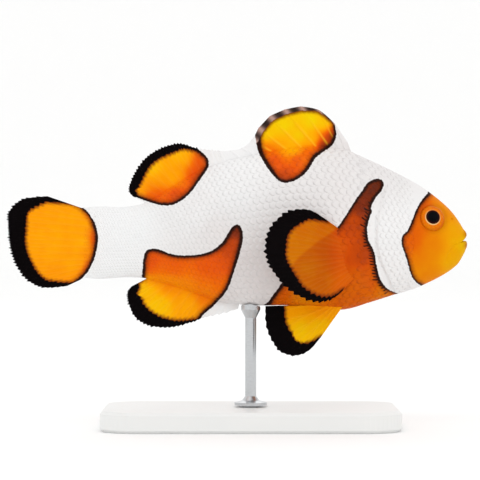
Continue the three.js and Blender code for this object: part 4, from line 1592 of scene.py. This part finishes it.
def fin_material():
    """A painted fin with slightly paler rays."""
    material, tree, shader = new_material("fish_fin", **FISH_GLOSS)
    shade, dark = painted(tree)
    pale = times(tree, times(tree, stored(tree, "ray"), 0.02), calc(tree, "SUBTRACT", 1.0, dark))
    tree.links.new(blend(tree, pale, shade, RAY_PAINT), shader.inputs["Base Color"])
    grain = noise(tree, 5.0, 3.0)
    roughness(tree, shader, grain, 0.4, 0.55)
    bump(tree, shader, grain, 0.2, 0.05)
    return material


def dress(pieces, material):
    """Gives pieces one material in place of any other."""
    for piece in pieces:
        piece.data.materials.clear()
        piece.data.materials.append(material)


dress([skin], skin_material())
dress(scales, scale_material())
dress(fins, fin_material())
print("dressed", 1 + len(scales) + len(fins), "pieces")

# %% [markdown]
# ## The eye's paint
# The eye is painted in rings round the line of sight: a black pupil with a dark red edge, a thin
# pale ring, painted brighter below and dimmer at the top as if the brow shaded it, then the orange
# iris with fine streaks and an outer edge darkened by painted shade where the eye meets its socket.
# A glass lens over a painted disc would be truer, but paint carries through an export better than
# glass, so a clear coat makes all of it wet.

# %% Eye material
IRIS_WARMTH = 0.45
IRIS_SHADE = 0.16
# Where painted shade of the socket lies on the iris, from none to its darkest.
SOCKET_SHADE_EDGE = (1.9, 2.4)
IRIS_RING = colour(244, 204, 140)
PUPIL_PAINT = colour(3, 4, 7)
PUPIL_EDGE = colour(52, 10, 4)
EYE_GLOSS = {"roughness": 0.3, "specular_ior_level": 0.02, "coat_weight": 0.12,
             "coat_roughness": 0.03, "coat_ior": 1.3}


def eye_material():
    """Pupil, pale ring and iris under a clear coat."""
    material, tree, shader = new_material("fish_eye", **EYE_GLOSS)
    off_axis = stored(tree, "off_axis")
    streaks = times(tree, calc(tree, "SUBTRACT", noise(tree, 2.2, 3.0), 0.5), 0.3)
    iris = warm_paint(tree, calc(tree, "ADD", streaks, IRIS_WARMTH))
    # Painted shade at the iris's outer edge, where the eye meets its socket.
    socket_shade = times(tree, mask(tree, off_axis, *SOCKET_SHADE_EDGE), 0.16)
    iris = blend(tree, calc(tree, "ADD", socket_shade, IRIS_SHADE), iris, DEEP_PAINT)
    ring = mask(tree, off_axis, PUPIL_RADIUS + 0.28, PUPIL_RADIUS + 0.08)
    # Painted shade: the pale ring dims towards the top.
    ring = times(tree, ring, stored(tree, "ring_lit_below"))
    shade = blend(tree, ring, iris, IRIS_RING)
    lens = blend(tree, mask(tree, off_axis, PUPIL_RADIUS, PUPIL_RADIUS - 0.5), PUPIL_EDGE, PUPIL_PAINT)
    shade = blend(tree, mask(tree, off_axis, PUPIL_RADIUS + 0.05, PUPIL_RADIUS - 0.03), shade, lens)
    tree.links.new(shade, shader.inputs["Base Color"])
    return material


dress(eyes, eye_material())
print("eyes painted")

# %% [markdown]
# ## The stand
# A museum stand is plain, so that nobody looks at it. The rod and the base could be modelled again
# with finer edges, but as CAD nodes their shape is right already, so they stay and only get a
# finish: satin lacquer on the base, with the faint orange peel of sprayed paint, and fine brushed
# steel on the rod.

# %% Stand materials
def lacquer():
    """White lacquer with a faint orange peel."""
    material, tree, shader = new_material("white_lacquer", coat_weight=0.2, coat_roughness=0.3)
    peel = noise(tree, 1.2, 2.0)
    shade = blend(tree, noise(tree, 0.05, 2.0), colour(226, 227, 226), colour(234, 234, 232))
    tree.links.new(shade, shader.inputs["Base Color"])
    roughness(tree, shader, peel, 0.34, 0.46)
    bump(tree, shader, peel, 0.1, 0.05)
    return material


def brushed_steel():
    """Steel with fine lines brushed round the rod."""
    material, tree, shader = new_material("rod_steel", metallic=1.0)
    lines = noise(tree, 6.0, 4.0, (0.25, 0.25, 4.0))
    shade = blend(tree, lines, colour(176, 178, 180), colour(214, 216, 218))
    tree.links.new(shade, shader.inputs["Base Color"])
    roughness(tree, shader, lines, 0.22, 0.38)
    bump(tree, shader, lines, 0.1, 0.02)
    return material


dress([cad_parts["stand_base"]], lacquer())
dress([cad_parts["stand_rod"]], brushed_steel())
print("stand finished")

# %% [markdown]
# ## The floor
# The model stands on a pale floor that curves up all round into a low wall, as a paper roll does in
# a studio. A plain plane would show its edge from some sides. This one is a circle primitive whose
# rim is extruded in steps, and it is far wider than the camera's distance.

# %% Floor
FLOOR_RADIUS = 1.1
COVE_RADIUS = 0.5
COVE_STEPS = 8


def build_floor():
    """A disc whose rim is extruded outwards and upwards in steps, along a quarter circle."""
    bpy.ops.object.select_all(action="DESELECT")
    bpy.ops.mesh.primitive_circle_add(vertices=96, radius=FLOOR_RADIUS, fill_type="NGON")
    floor = bpy.context.object
    floor.name = "floor"
    bpy.ops.object.mode_set(mode="EDIT")
    radius = FLOOR_RADIUS
    one_turn = math.pi / 2 / COVE_STEPS
    for k in range(1, COVE_STEPS + 1):
        turn = one_turn * k
        wider = FLOOR_RADIUS + COVE_RADIUS * math.sin(turn)
        rise = COVE_RADIUS * (math.cos(turn - one_turn) - math.cos(turn))
        bpy.ops.mesh.extrude_region_move(TRANSFORM_OT_translate={"value": (0, 0, rise)})
        bpy.ops.transform.resize(value=(wider / radius, wider / radius, 1))
        radius = wider
    bpy.ops.mesh.delete(type="ONLY_FACE")
    bpy.ops.object.mode_set(mode="OBJECT")
    smooth_faces(floor)
    return floor


def floor_paper():
    """Matt white paper."""
    material, tree, shader = new_material("floor_paper")
    fibres = noise(tree, 0.5, 3.0)
    shade = blend(tree, fibres, colour(249, 249, 249), colour(251, 251, 250))
    tree.links.new(shade, shader.inputs["Base Color"])
    roughness(tree, shader, fibres, 0.85, 0.95)
    return material


floor = build_floor()
dress([floor], floor_paper())
print("floor faces:", len(floor.data.polygons))

# %% [markdown]
# ## The light
# White fish on white paper needs light that is soft and nearly even, as in a light tent, or the
# colours burn out on one side. One bright lamp would throw a hard shadow. So a white sky gives most
# of the light, and three large soft lamps, the key one above the camera, add a little form.

# %% Lights
LIGHTS = {
    "key": {"at": (-0.25, -0.65, 0.75), "size": 0.5, "power": 0.9},
    "fill": {"at": (0.6, -0.5, 0.35), "size": 0.5, "power": 0.2},
    "back": {"at": (0.1, 0.75, 0.6), "size": 0.5, "power": 0.5},
}
SKY_STRENGTH = 1.03


def add_light(name, at, size, power):
    """A square soft lamp, in metres and watts, aimed at the fish."""
    place = Vector(at)
    aim = (VIEW_CENTRE - place).to_track_quat("-Z", "Y").to_euler()
    bpy.ops.object.light_add(type="AREA", location=place, rotation=aim)
    light = bpy.context.object
    light.name = name
    light.data.size = size
    light.data.energy = power


for name, light in LIGHTS.items():
    add_light(name, **light)
world = bpy.data.worlds.new("light_tent")
bpy.context.scene.world = world
world.use_nodes = True
world.node_tree.nodes["Background"].inputs["Color"].default_value = (1, 1, 1, 1)
world.node_tree.nodes["Background"].inputs["Strength"].default_value = SKY_STRENGTH
print("lights:", ", ".join(LIGHTS))
